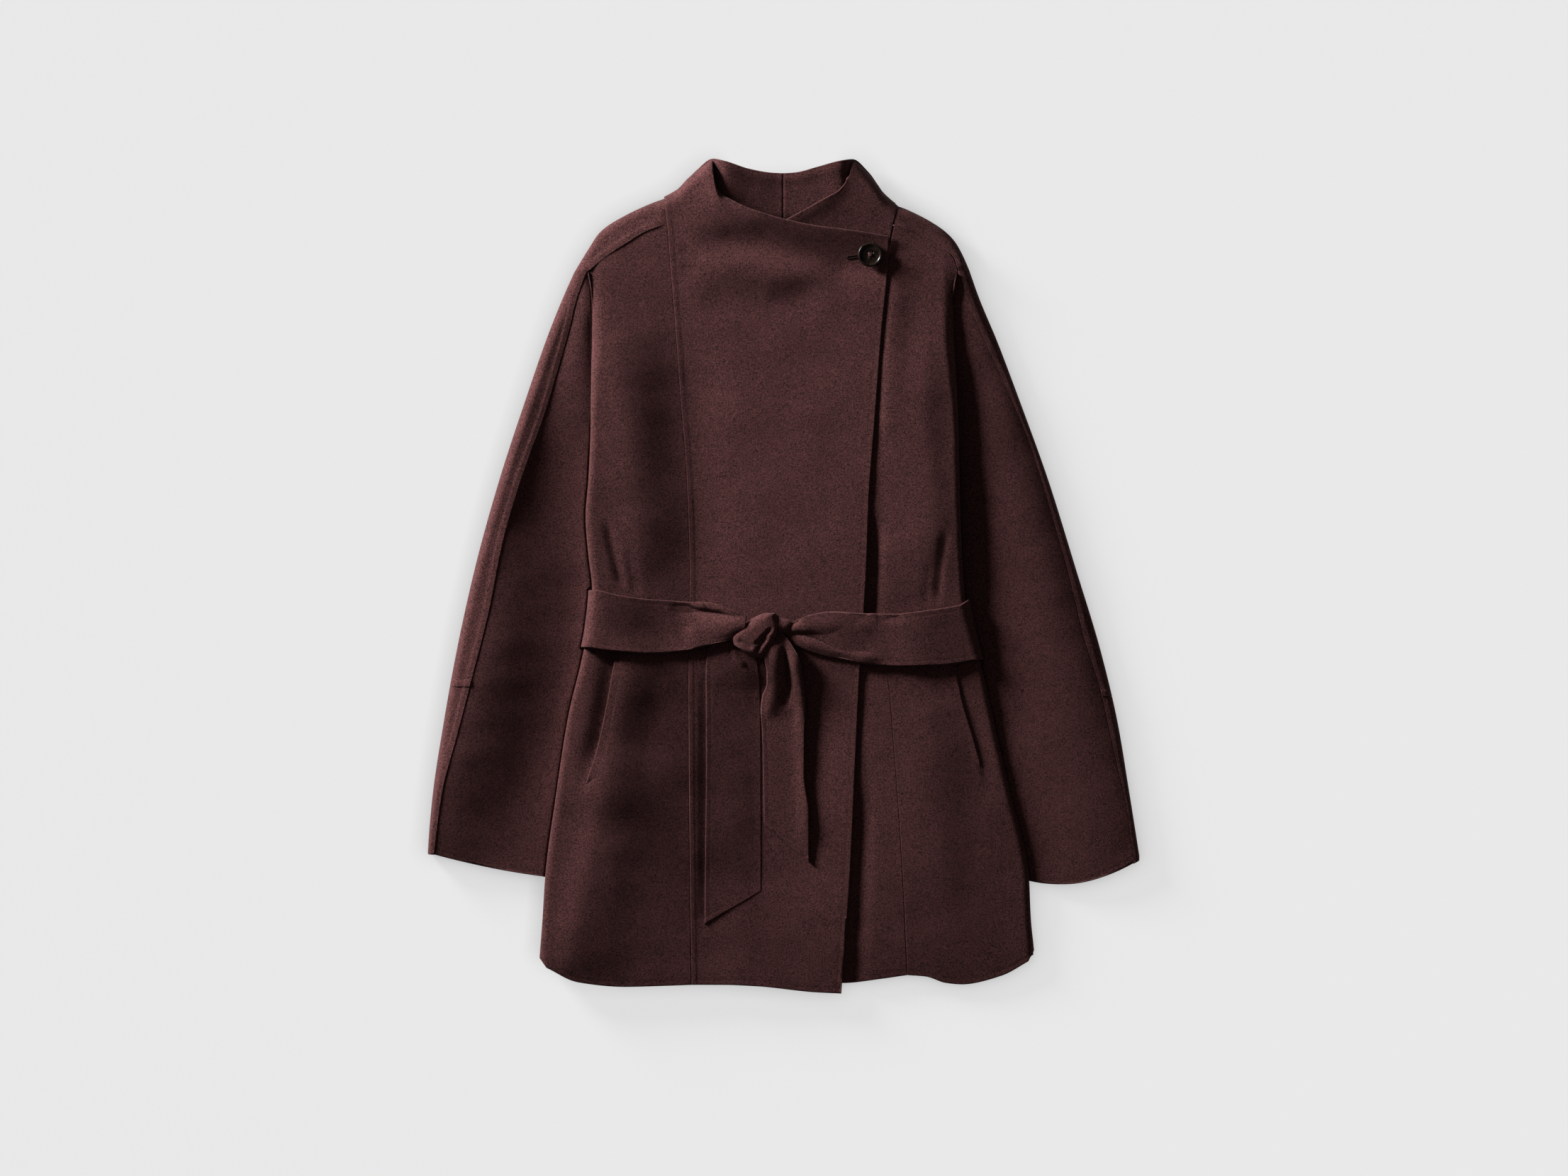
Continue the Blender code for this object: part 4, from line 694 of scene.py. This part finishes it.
def make_front(name, layer, first, last, hem, neck, roll, peak, seams, nodes):
    """A centre front with its grown-on collar. Its neckline rolls inward by the shares in the table roll."""
    start = seam_edge(lambda y: first(y) + SEAM_GAP / 2, hem[0].y, neck[0].y)
    end = seam_edge(lambda y: last(y) - SEAM_GAP / 2, hem[-1].y, neck[-1].y)
    plan = patch(start, end, path_edge(hem), path_edge(neck), FRONT_REACH)

    def surface(u, v):
        at = plan(u, v)
        x, y = at.T
        z = front_height(x, y, layer)
        if layer == "over":
            z = z + raised_strip(x - right_princess(y), *WELT) + border_line(overlap_edge(y) - x)
        from_neck = apart(plan(u, np.ones_like(v)), at)
        z = z + border_line(from_neck) + border_line(apart(plan(u, np.zeros_like(v)), at))
        away = np.clip(from_neck / COLLAR_ROLL, 0, 1)
        foot = FOOT + PEAK_RISE * bell(u - peak, PEAK_WIDTH)
        rolled = foot + (z - foot) * np.sqrt(1 - (1 - away) ** 2)
        share = np.interp(u, column(roll, "u"), column(roll, "share"))
        return lift(at, z + (rolled - z) * share)

    across, along = (spread(span, STEP, FINE_MARGIN, FINE_MARGIN) for span in FRONT_SPANS)
    cloth(name, surface, across, along, WALL, -1, seams, nodes)


class Sleeve:
    """Sections of one sleeve. Each row runs from its outer edge to its inner side, over the seam on top."""

    def __init__(self, sign, side, outline, overarm, shoulder, strip, armhole, loft, bow, room, cross, cuff):
        self.sign, self.side, self.bow, self.room, self.cross, self.cuff = sign, side, bow, room, cross, cuff
        self.outline, self.overarm = curve(outline, "x"), curve(overarm, "x")
        self.shoulder, self.strip, self.armhole = path_edge(shoulder), path_edge(strip), armhole
        self.tip, self.tip_y = shoulder[-1].u, shoulder[-1].y
        self.heights = [curve(loft, name) for name in ("seam", "outer", "inner", "rim")]
        self.fall = curve(loft, "fall")

    def back_inner(self, y):
        outside = self.side(y) + self.sign * SLEEVE_ROOM
        return armhole_line(y, outside, self.armhole, self.sign * SEAM_GAP)

    def front_inner(self, y):
        """Just clear of the body's side, and past the armpit tucked under it."""
        clear = SLEEVE_ROOM - (SLEEVE_ROOM + ARMHOLE_TUCK) * ramp(y, TUCK_Y, TUCK_RAMP)
        return self.side(y) + self.sign * clear

    def cuff_bow(self, y, share):
        """The cuff's edge sags in its middle."""
        return -self.bow * 4 * share * (1 - share) * ramp(CUFF_Y, y, CUFF_RAMP)

    def back_profile(self, u, seam, edge, inner, seam_z):
        """From the seam over the rolled outer edge (u 1 to 2) and back along the floor (u 2 to 3)."""
        width = length_of(edge - seam)
        roll = np.minimum(OUTER_ROLL, OUTER_ROLL_SHARE * width)
        out = (edge - seam) / width
        top = edge - out * roll
        top_z = seam_z - self.fall(seam[:, 1]) * (width - roll)[:, 0]
        turn = np.clip(u - 1, 0, 1)[:, None] * math.pi
        at = seam + (top - seam) * np.clip(u, 0, 1)[:, None] + out * roll * np.sin(turn)
        at = at + (inner - top) * np.clip(u - 2, 0, 1)[:, None]
        z = seam_z + (top_z - seam_z) * np.clip(u, 0, 1)
        z = z + raised_strip(apart(at, seam), *LAP) + ripple(*at.T) + border_line(seam[:, 1] - self.cuff)
        return lift(at, z * 0.5 * (1 + np.cos(turn[:, 0])))

    def shoulder_back(self, u, share):
        seam, edge = self.shoulder(share * self.tip), self.strip(share * self.tip)
        seam_z = front_height(seam[:, 0], seam[:, 1])
        seam = seam - unit(edge - seam) * SHOULDER_LAP
        tuck = pair(self.sign * STRIP_TUCK * (1 - smoothstep(share / STRIP_TUCK_SHARE)), 0)
        seam, edge = seam - tuck, edge - tuck
        low, high = self.armhole[1], self.armhole[-1]
        inner = pair(low.x + (high.x - low.x) * (1 - share) + self.sign * SEAM_GAP,
                     low.y + (high.y - low.y) * (1 - share))
        return self.meet_collar(self.back_profile(u, seam, edge, inner, seam_z), u, share, edge, seam_z)

    def meet_collar(self, at, u, share, edge, seam_z):
        """Near the neck the shoulder strip takes the collar's section, just below it."""
        away = np.clip(apart(edge, at[:, :2]) / COLLAR_ROLL, 0, 1)
        top = front_height(at[:, 0], at[:, 1])
        collar = FOOT + (top - FOOT) * np.sqrt(1 - (1 - away) ** 2)
        collar = collar - COLLAR_TUCK * (1 - smoothstep(share / TUCK_SHARE))
        collar = np.where(u > UNDER_FROM, at[:, 2] * 2 * FOOT / seam_z, collar)
        at[:, 2] = collar + (at[:, 2] - collar) * smoothstep(share / COLLAR_JOIN)
        return at

    def arm_back(self, u, y):
        inner_y = back_row(y)
        inner, outer = self.back_inner(inner_y), self.outline(y)
        seam, seam_z = pair(self.overarm(y), y), self.heights[0](y)
        at = self.back_profile(u, seam, pair(outer, y), pair(inner, inner_y), seam_z)
        share = np.abs(at[:, 0] - outer) / np.abs(inner - outer)
        at[:, 1] += self.cuff_bow(y, np.clip(share, 0, 1))
        return at

    def back(self, u, v):
        """v 0 to 1 runs along the shoulder; past 1 it grows by a thousandth a millimetre down the arm."""
        arm_y = self.tip_y - np.maximum(v - 1, 0) / MM
        arm = self.arm_back(u, arm_y)
        arm[:, 2] += raised_strip(arm_y - self.cross, *LAP) * np.clip(2 - u, 0, 1)
        return np.where((v < 1)[:, None], self.shoulder_back(u, np.clip(v, 0, 1)), arm)

    def front(self, u, y):
        """From the overarm seam to the inner side (u 0 to 1), then rolled down to its foot (u 1 to 2)."""
        inner_y = front_row(y)
        gap = SEAM_GAP + TIP_GAP * ramp(y, TIP_Y, TIP_RAMP)
        seam = pair(self.overarm(y) - self.sign * gap, y)
        inner = pair(self.front_inner(inner_y), inner_y)
        width = length_of(inner - seam)
        rim = inner - (inner - seam) / width * np.minimum(SLEEVE_ROLL, SLEEVE_ROLL_SHARE * width)
        high = np.clip(u, 0, 1)
        low = 1 - high
        turn = np.clip(u - 1, 0, 1) * math.pi / 2
        at = seam + (rim - seam) * high[:, None] + (inner - rim) * np.sin(turn)[:, None]
        seam_z, outer_z, inner_z, rim_z = (height(y) for height in self.heights)
        z = (seam_z * low ** 3 + 3 * (outer_z + (outer_z - seam_z) / 2) * low ** 2 * high
             + 3 * (inner_z + (inner_z - rim_z) / 2) * low * high ** 2 + rim_z * high ** 3)
        z = z + ripple(*at.T) + border_line(y - self.cuff)
        foot = sleeve_foot(inner_y)
        room = BELT_ROOM * plateau(at[:, 1], *self.room, ROOM_RAMP)
        at[:, 0] += self.sign * room * high ** ROOM_REACH
        at[:, 1] += self.cuff_bow(y, high)
        return lift(at, np.where(u > 1, foot + (z - foot) * np.cos(turn), z))


def make_sleeve(name, sign, *parts):
    """A sleeve's back with the shoulder strip, its forearm piece below the cross seam, and its front."""
    sleeve = Sleeve(sign, *parts)
    cross, cuff = sleeve.cross, sleeve.cuff
    across = np.concatenate((spread(STRIP_SPAN, STEP, FINE_MARGIN), next_share(1, EDGE_SAMPLES),
                             next_share(2, EDGE_SAMPLES)))
    arm = sleeve.tip_y - cross - SEAM_GAP
    rows = np.concatenate((spread(SHOULDER_SPAN), 1 + spread(arm, STEP, 0, FINE_MARGIN)[1:] * arm * MM))
    cloth(f"{name}_sleeve_back", sleeve.back, across, rows, WALL, sign, ("first", "low", "high"))
    rows = cross + (cuff - cross) * spread(cross - cuff, STEP, FINE_MARGIN, FINE_MARGIN)
    cloth(f"{name}_forearm_back", sleeve.arm_back, across, rows, WALL, sign, ("first", "low"))
    across = np.concatenate((spread(PANEL_SPAN, STEP, FINE_MARGIN), next_share(1, INNER_SAMPLES)))
    rows = FRONT_TIP_Y + (cuff - FRONT_TIP_Y) * spread(FRONT_TIP_Y - cuff, STEP, 0, FINE_MARGIN)
    cloth(f"{name}_sleeve_front", sleeve.front, across, rows, WALL, -sign, ("first", "low"))


def make_pocket_lip(name, sign, route):
    """A narrow turned lip along a slanted pocket mouth, laid on its side front."""
    mouth = path_edge(route)

    def surface(u, v):
        at = mouth(v) - pair(sign * LIP_WIDTH * u, 0)
        ends = 1 - smoothstep(np.minimum(v, 1 - v) / LIP_END)
        rise = LIP_RISE - LIP_FALL * u - LIP_WALL * (1 + ends)
        return lift(at, front_height(at[:, 0], at[:, 1], "bed") + rise)

    cloth(name, surface, spread(LIP_WIDTH, FINE_STEP), spread(LIP_SPAN), LIP_WALL, sign)


def make_belt_stretch(name, sign, side, rows):
    """A front stretch of the belt, from the knot round the body's side and down to the stretch behind."""
    high, low = curve(rows, "high"), curve(rows, "low")
    outer, inner = (rows[0].x, rows[-1].x) if sign < 0 else (rows[-1].x, rows[0].x)

    def surface(u, v):
        flat = np.minimum(u, 1)
        x = inner + (outer - inner) * flat
        width = high(x) - low(x)
        y = low(x) + width * v
        bunched = BUNCH_HEIGHT * (1 - smoothstep(np.abs(x - inner) / BUNCH_LENGTH))
        crease = fold_height(x, y, name) + bunched * 4 * v * (1 - v)
        crease = crease + border_line(width * v) + border_line(width * (1 - v))
        x = x + (side(y) - sign * SIDE_ROLL - outer) * ramp(flat, 1 - BELT_MEET, BELT_MEET)
        turn = np.clip(u - 1, 0, 1) * math.pi / 2
        over = BELT_OVER * ramp(x, BELT_OVER_X, BELT_OVER_RAMP) * (sign < 0)
        z = bed_height(x, y) + BELT_GAP + np.maximum(crease + over, CREASE_LEAST)
        foot = FOOT + BAND_RISE
        x = x + sign * ((SIDE_ROLL + BELT_TURN) * np.sin(turn) + OVERHANG * np.sin(2 * turn))
        y = y + BELT_FLICK * v * np.sin(turn) * (sign > 0)
        rolled = foot + (z - foot) * np.cos(turn)
        down = (foot - BELT_WALL - BELT_SEAT) * np.clip(u - 2, 0, 1)
        return lift(pair(x, y), np.where(u > 1, rolled - down, z))

    across = np.concatenate((spread(abs(outer - inner), BELT_STEP), next_share(1, BELT_SAMPLES), (3,)))
    cloth(name, surface, across, spread(BELT_SPAN, BELT_STEP, FINE_MARGIN, FINE_MARGIN), BELT_WALL, sign)


def make_belt_back():
    """The stretch of the belt behind the body, flat on the floor."""
    def surface(u, v):
        y = BELT_BACK_LOW + BELT_BACK_WIDTH * v - BELT_BACK_SLANT * u
        first, last = right_side(y) - BELT_TURN - BELT_WALL, left_side(y) + BELT_TURN + BELT_WALL
        return lift(pair(first + (last - first) * u, y), np.zeros_like(u))

    along = spread(BELT_BACK_WIDTH, COARSE_STEP)
    cloth("belt_back", surface, spread(BELT_BACK_SPAN, COARSE_STEP), along, BELT_WALL, 1)


def make_belt_end(name, layer, rows, slant):
    """A hanging end of the belt, cut off at a slant. The left one arches over the knot and lies on top."""
    left, right = curve(rows, "left"), curve(rows, "right")
    top, end = rows[0].y, rows[-1].y
    on_top = layer == "tail_left"

    def surface(u, v):
        low = end + slant * (1 - u if on_top else u)
        y = low + (top - low) * v
        width = right(y) - left(y)
        x = left(y) + width * u
        crease = fold_height(x, y, layer) + border_line(width * u) + border_line(width * (1 - u))
        crease = crease + border_line((y - low) * END_LEAN)
        raised = TAIL_LIFT * ramp(y, TAIL_LIFT_END, TAIL_LIFT_TOP - TAIL_LIFT_END) * on_top
        raised = raised * ramp(TAIL_DIP_TOP, y, TAIL_DIP_RAMP)
        sunk = 0 if on_top else TAIL_SINK + (TAIL_SINK_RIGHT - TAIL_SINK) * u
        z = bed_height(x, y) + LAY_GAP + np.maximum(crease + raised, CREASE_LEAST) - sunk
        return lift(pair(x, y), z)

    across = spread(TAIL_SPAN, BELT_STEP, FINE_MARGIN, FINE_MARGIN)
    cloth(name, surface, across, spread(top - end, BELT_STEP, FINE_MARGIN), BELT_WALL, 1)


def make_knot():
    """The knot: the band wound once over the crossing, bulging between its two tucked ends."""
    upper, lower = path_edge(KNOT_UPPER), path_edge(KNOT_LOWER)

    def surface(u, v):
        at = upper(v) + (lower(v) - upper(v)) * u[:, None]
        pull = KNOT_CORNER * ((2 * u - 1) * (2 * v - 1)) ** 4
        at = at + pull[:, None] * (np.array(KNOT_CENTRE) - at)
        dome = np.clip(1 - np.abs(2 * v - 1) ** KNOT_ROUNDNESS, 0, 1)
        dome = np.sqrt(dome * np.clip(1 - np.abs(2 * u - 1) ** KNOT_ROUNDNESS, 0, 1))
        height = KNOT_HEIGHT - BELT_WALL + fold_height(*at.T, "knot")
        return lift(at, bed_height(*at.T) + KNOT_FOOT + height * dome)

    across, along = (spread(span, FINE_STEP) for span in KNOT_SPANS)
    cloth("belt_knot", surface, across, along, BELT_WALL, 1)


def make_button():
    """A turned button with a raised rim and four holes, seated on the lapping front."""
    bm = bmesh.new()
    verts = [bm.verts.new((row.radius * MM, 0, row.z * MM)) for row in BUTTON_PROFILE]
    edges = [bm.edges.new(ends) for ends in zip(verts, verts[1:])]
    bmesh.ops.spin(bm, geom=verts + edges, cent=(0, 0, 0), axis=(0, 0, 1), angle=2 * math.pi,
                   steps=BUTTON_STEPS, use_merge=True)
    bmesh.ops.remove_doubles(bm, verts=bm.verts, dist=BUTTON_MERGE)
    bmesh.ops.recalc_face_normals(bm, faces=bm.faces)
    mesh = mesh_of("button", bm)
    mesh.shade_smooth()
    button = add("button_horn", mesh, horn)
    seat = float(front_height(*BUTTON_AT, "over")) + 2 * LAY_GAP
    button.location = (BUTTON_AT[0] * MM, BUTTON_AT[1] * MM, seat * MM)
    drills = []
    for k in range(4):
        turn = math.pi / 4 + k * math.pi / 2
        drill = add(f"drill_{k}", drill_mesh(), horn)
        drill.location = button.location
        drill.location.x += HOLE_OFFSET * math.cos(turn) * MM
        drill.location.y += HOLE_OFFSET * math.sin(turn) * MM
        button.modifiers.new(f"hole_{k}", "BOOLEAN").object = drill
        drills.append(drill)
    bpy.context.view_layer.update()
    button.data = bpy.data.meshes.new_from_object(button.evaluated_get(bpy.context.evaluated_depsgraph_get()))
    button.modifiers.clear()
    for drill in drills:
        bpy.data.objects.remove(drill)
    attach(button, "root")
    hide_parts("button")
    make_button_thread(seat)


def drill_mesh():
    bm = bmesh.new()
    bmesh.ops.create_cone(bm, cap_ends=True, segments=DRILL_SIDES, radius1=HOLE_RADIUS * MM,
                          radius2=HOLE_RADIUS * MM, depth=4 * BUTTON_THICK * MM)
    return mesh_of("drill", bm)


def strands(name, routes, radius, material):
    """Round threads along the given routes, all in one mesh, in millimetres."""
    points, faces = [], []
    ring = np.arange(STRAND_SIDES)
    angles = 2 * math.pi / STRAND_SIDES * ring
    for route in routes:
        route = np.asarray(route, float)
        ahead = unit(np.gradient(route, axis=0))
        side = unit(np.cross(ahead, (0.0, 0.0, 1.0)))
        top = np.cross(side, ahead)
        starts = len(points) + STRAND_SIDES * np.arange(len(route))
        for place, across, up in zip(route, side, top):
            points.extend(place + radius * (math.cos(a) * across + math.sin(a) * up) for a in angles)
        after = np.roll(ring, -1)
        for here, there in zip(starts, starts[1:]):
            faces += np.stack((here + ring, here + after, there + after, there + ring), axis=1).tolist()
        faces += [(starts[0] + ring[::-1]).tolist(), (starts[-1] + ring).tolist()]
    piece = add(name, mesh_from(name, points, faces), material)
    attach(piece, "root")


def make_button_thread(seat):
    """Two crossing bundles of thread through the four holes."""
    routes = []
    t = np.linspace(-1, 1, THREAD_POINTS)
    for k in range(2):
        turn = math.pi / 4 + k * math.pi / 2
        along = np.array((math.cos(turn), math.sin(turn)))
        aside = np.array((-along[1], along[0]))
        arch = (THREAD_ARCH + THREAD_CROSSING * k) * (1 - np.abs(t) ** THREAD_SQUARENESS)
        for shift in (-THREAD_APART, 0, THREAD_APART):
            at = np.array(BUTTON_AT) + HOLE_OFFSET * THREAD_REACH * t[:, None] * along + shift * aside
            routes.append(lift(at, seat + BUTTON_DISH - THREAD_SUNK + arch))
    strands("button_thread", routes, THREAD_RADIUS, thread)


def make_buttonhole():
    """A worked buttonhole: stitches side by side on both lips of the slit, fanned round its eye, and a
    near-black strand sunk in the slit, which paints the shade of the opening.
    """
    eye, end = np.array(HOLE_EYE), np.array(HOLE_END)
    along = (end - eye) / np.linalg.norm(end - eye)
    aside = np.array((-along[1], along[0]))
    roots = [(eye + (end - eye) * t, sign * aside)
             for sign in (-1, 1) for t in np.linspace(0, 1, HOLE_STITCHES)]
    for turn in np.linspace(math.pi / 2, 3 * math.pi / 2, EYE_STITCHES + 2)[1:-1]:
        roots.append((eye, math.cos(turn) * along + math.sin(turn) * aside))
    routes = []
    t = np.linspace(0, 1, STITCH_POINTS)
    arch = STITCH_HEIGHT * np.sin(math.pi * (STITCH_START + (1 - STITCH_START) * t)) - STITCH_SUNK
    for root, heading in roots:
        at = root + heading * (SLIT_HALF + STITCH_LENGTH * t)[:, None]
        routes.append(lift(at, front_height(*at.T, "over") + arch))
    strands("buttonhole", routes, STITCH_RADIUS, dark_thread)
    # A near-black strand laid in the slit: painted shade where the opening is.
    at = eye + (end - eye) * np.linspace(0, 1, SLIT_POINTS)[:, None]
    strands("buttonhole_slit_painted_shade", [lift(at, front_height(*at.T, "over") - SLIT_SUNK)], SLIT_RADIUS, painted_slit_shade)


def feed(tree, made, inputs):
    """Give a node its inputs: a socket is linked, anything else is set as a constant."""
    for name, value in inputs.items():
        if isinstance(value, bpy.types.NodeSocket):
            tree.links.new(value, made.inputs[name])
        else:
            made.inputs[name].default_value = value


def node(tree, kind, inputs, output, **settings):
    """A new node with its settings and inputs; gives back one of its outputs."""
    made = tree.nodes.new(kind)
    for name, value in settings.items():
        setattr(made, name, value)
    feed(tree, made, inputs)
    return made.outputs[output]


def principled(name, roughness):
    """A material, its node tree, its shader and the place of each point on the piece."""
    material = bpy.data.materials.new(name)
    material.use_nodes = True
    tree = material.node_tree
    shader = tree.nodes["Principled BSDF"]
    feed(tree, shader, {"Roughness": roughness})
    return material, tree, shader, node(tree, "ShaderNodeTexCoord", {}, "Object")


def noise(tree, place, scale, detail, roughness, distortion=0.0):
    inputs = {"Vector": place, "Scale": scale, "Detail": detail, "Roughness": roughness,
              "Distortion": distortion}
    return node(tree, "ShaderNodeTexNoise", inputs, "Fac")


def remap(tree, value, low, high, to_low, to_high):
    inputs = {"Value": value, "From Min": low, "From Max": high, "To Min": to_low, "To Max": to_high}
    return node(tree, "ShaderNodeMapRange", inputs, "Result")


def mix_colour(tree, share, first, second):
    inputs = {MIX_SHARE: share, MIX_FIRST: (*first, 1), MIX_SECOND: (*second, 1)}
    return node(tree, "ShaderNodeMix", inputs, MIX_RESULT, data_type="RGBA")


def weighted(tree, value, weight, rest):
    """value times weight, plus the rest."""
    return node(tree, "ShaderNodeMath", {0: value, 1: weight, 2: rest}, 0, operation="MULTIPLY_ADD")


def wool_material(name, dark, light):
    """Felted double-face wool: mottled fibres, a short uneven nap and a soft sheen."""
    material, tree, shader, place = principled(name, 0.92)
    tufts = noise(tree, place, scale=720, detail=4, roughness=0.72, distortion=0.6)
    fibres = noise(tree, place, scale=1900, detail=3, roughness=0.6, distortion=1.0)
    clouds = noise(tree, place, scale=90, detail=3, roughness=0.55)
    nap = weighted(tree, fibres, FIBRE_WEIGHT, tufts)
    share = remap(tree, weighted(tree, clouds, CLOUD_WEIGHT, nap), *NAP_RANGE, 0, 1)
    bump = {"Strength": 0.85, "Distance": 0.0008, "Height": nap}
    feed(tree, shader, {
        "Base Color": mix_colour(tree, share, dark, light),
        "Normal": node(tree, "ShaderNodeBump", bump, "Normal"), "Sheen Weight": 0.08, "Sheen Roughness": 0.45,
        "Sheen Tint": (0.78, 0.5, 0.48, 1), "Specular IOR Level": 0.1})
    return material


def horn_material():
    """Polished dark horn: near black, with a few brown clouds."""
    material, tree, shader, place = principled("horn", 0.2)
    clouds = noise(tree, place, scale=140, detail=4, roughness=0.6, distortion=1.2)
    share = remap(tree, clouds, 0.42, 0.7, 0, 1)
    scratches = noise(tree, place, scale=700, detail=2, roughness=0.5)
    feed(tree, shader, {
        "Base Color": mix_colour(tree, share, (0.0035, 0.0022, 0.0018), (0.016, 0.009, 0.006)),
        "Roughness": remap(tree, scratches, 0.3, 0.7, 0.2, 0.34), "Specular IOR Level": 0.12})
    return material


def thread_material(name, colour, roughness):
    """Plain sewing thread, with darker fibres."""
    material, tree, shader, place = principled(name, roughness)
    fibres = noise(tree, place, scale=2500, detail=2, roughness=0.5)
    darker = tuple(THREAD_SHADE * value for value in colour)
    feed(tree, shader, {"Base Color": mix_colour(tree, fibres, darker, colour), "Specular IOR Level": 0.1})
    return material


def floor_material():
    """A pale table with its own glow. Its colour grows away from the key to even out the key's fading, so
    that only shadows show, and ambient occlusion darkens its glow next to the coat as a painted contact
    shadow.
    """
    material, tree, shader, place = principled("floor", 1.0)
    distance = node(tree, "ShaderNodeVectorMath", {0: place, 1: KEY_PLACE}, "Value", operation="DISTANCE")
    relative = remap(tree, distance, 0, 2 * KEY_DISTANCE, 0, 2)
    faded = node(tree, "ShaderNodeMath", {0: relative, 1: KEY_FADE}, 0, operation="POWER")
    far = 2 ** KEY_FADE
    shade = remap(tree, faded, 0, far, 0, far * FLOOR_SHADE)
    # Ambient occlusion darkens the floor's glow next to the coat: painted contact shadow.
    painted_contact_shadow = node(tree, "ShaderNodeAmbientOcclusion", {"Distance": CONTACT_REACH}, "AO")
    feed(tree, shader, {
        "Base Color": shade, "Specular IOR Level": 0,
        "Emission Strength": remap(tree, shade, 0, 1, FLOOR_GLOW, FLOOR_GLOW - FILL),
        "Emission Color": remap(tree, painted_contact_shadow, 0, 1, 1 - CONTACT_PAINTED_SHADOW, 1)})
    return material


def make_stage():
    """The table, an even fill, a low key light from the upper left, and the camera straight above."""
    scene = bpy.context.scene
    mesh = bpy.data.meshes.new("floor")
    corners = [(x * FLOOR_HALF, y * FLOOR_HALF, 0) for x, y in ((-1, -1), (1, -1), (1, 1), (-1, 1))]
    mesh.from_pydata(corners, [], [(0, 1, 2, 3)])
    floor = add("floor", mesh, floor_material())
    floor.location.z = FLOOR_Z
    scene.world = scene.world or bpy.data.worlds.new("studio")
    scene.world.use_nodes = True
    tree = scene.world.node_tree
    feed(tree, tree.nodes["Background"], {"Color": (1, 1, 1, 1), "Strength": FILL})
    key = bpy.data.objects.new("key", bpy.data.lights.new("key", "AREA"))
    key.data.shape = "DISK"
    key.data.size = KEY_SIZE
    key.data.energy = KEY_POWER
    key.location = KEY_PLACE
    key.rotation_euler = (0, math.pi / 2 - KEY_ELEVATION, KEY_HEADING)
    camera = bpy.data.objects.new("camera", bpy.data.cameras.new("camera"))
    camera.data.sensor_width = SENSOR
    camera.data.lens = SENSOR * (CAMERA_HEIGHT - FRAME_HEIGHT_Z) / FRAME_WIDTH
    camera.location = (FRAME_CENTRE[0] * MM, FRAME_CENTRE[1] * MM, CAMERA_HEIGHT * MM)
    scene.collection.objects.link(key)
    scene.collection.objects.link(camera)
    scene.camera = camera
    scene.view_settings.view_transform = "Standard"


wool = wool_material("wool", (0.010, 0.0030, 0.0029), (0.084, 0.0288, 0.0284))
horn = horn_material()
thread = thread_material("thread", (0.085, 0.038, 0.034), 0.8)
dark_thread = thread_material("dark_thread", (0.022, 0.009, 0.009), 0.85)
# Near-black colour for the strand in the buttonhole's slit: painted shade of the opening.
painted_slit_shade = thread_material("slit", (0.006, 0.003, 0.003), 0.9)
make_back()
make_back_collar("right_back_collar", -1, RIGHT_COLLAR_TOP)
make_back_collar("left_back_collar", 1, LEFT_COLLAR_TOP)
make_side_front("right_side_front", -1, right_princess, right_side, RIGHT_SIDE_HEM, RIGHT_SHOULDER,
                RIGHT_SIDE_ENDS)
make_side_front("left_side_front", 1, left_princess, left_side, LEFT_SIDE_HEM, LEFT_SHOULDER, LEFT_SIDE_ENDS)
make_front("right_front", "over", right_princess, overlap_edge, RIGHT_FRONT_HEM, RIGHT_NECKLINE,
           RIGHT_NECK_ROLL, RIGHT_PEAK, ("first",), ("right_front",))
make_front("left_front", "under", hidden_edge, left_princess, LEFT_FRONT_HEM, LEFT_NECKLINE, LEFT_NECK_ROLL,
           LEFT_PEAK, ("last",), ("left_front", "left_front_collar"))
make_sleeve("right", -1, right_side, RIGHT_OUTLINE, RIGHT_OVERARM, RIGHT_SHOULDER, RIGHT_STRIP, RIGHT_ARMHOLE,
            RIGHT_SLEEVE_LOFT, RIGHT_CUFF_SAG, RIGHT_ROOM, RIGHT_CROSS_SEAM, RIGHT_CUFF)
make_sleeve("left", 1, left_side, LEFT_OUTLINE, LEFT_OVERARM, LEFT_SHOULDER, LEFT_STRIP, LEFT_ARMHOLE,
            LEFT_SLEEVE_LOFT, LEFT_CUFF_SAG, LEFT_ROOM, LEFT_CROSS_SEAM, LEFT_CUFF)
make_pocket_lip("right_pocket_lip", -1, RIGHT_POCKET)
make_pocket_lip("left_pocket_lip", 1, LEFT_POCKET)
make_belt_stretch("belt_right", -1, right_side, BELT_RIGHT)
make_belt_stretch("belt_left", 1, left_side, BELT_LEFT)
make_belt_back()
make_belt_end("belt_tail_right", "tail_right", TAIL_RIGHT, TAIL_RIGHT_SLANT)
make_belt_end("belt_tail_left", "tail_left", TAIL_LEFT, TAIL_LEFT_SLANT)
make_knot()
make_button()
make_buttonhole()
make_stage()
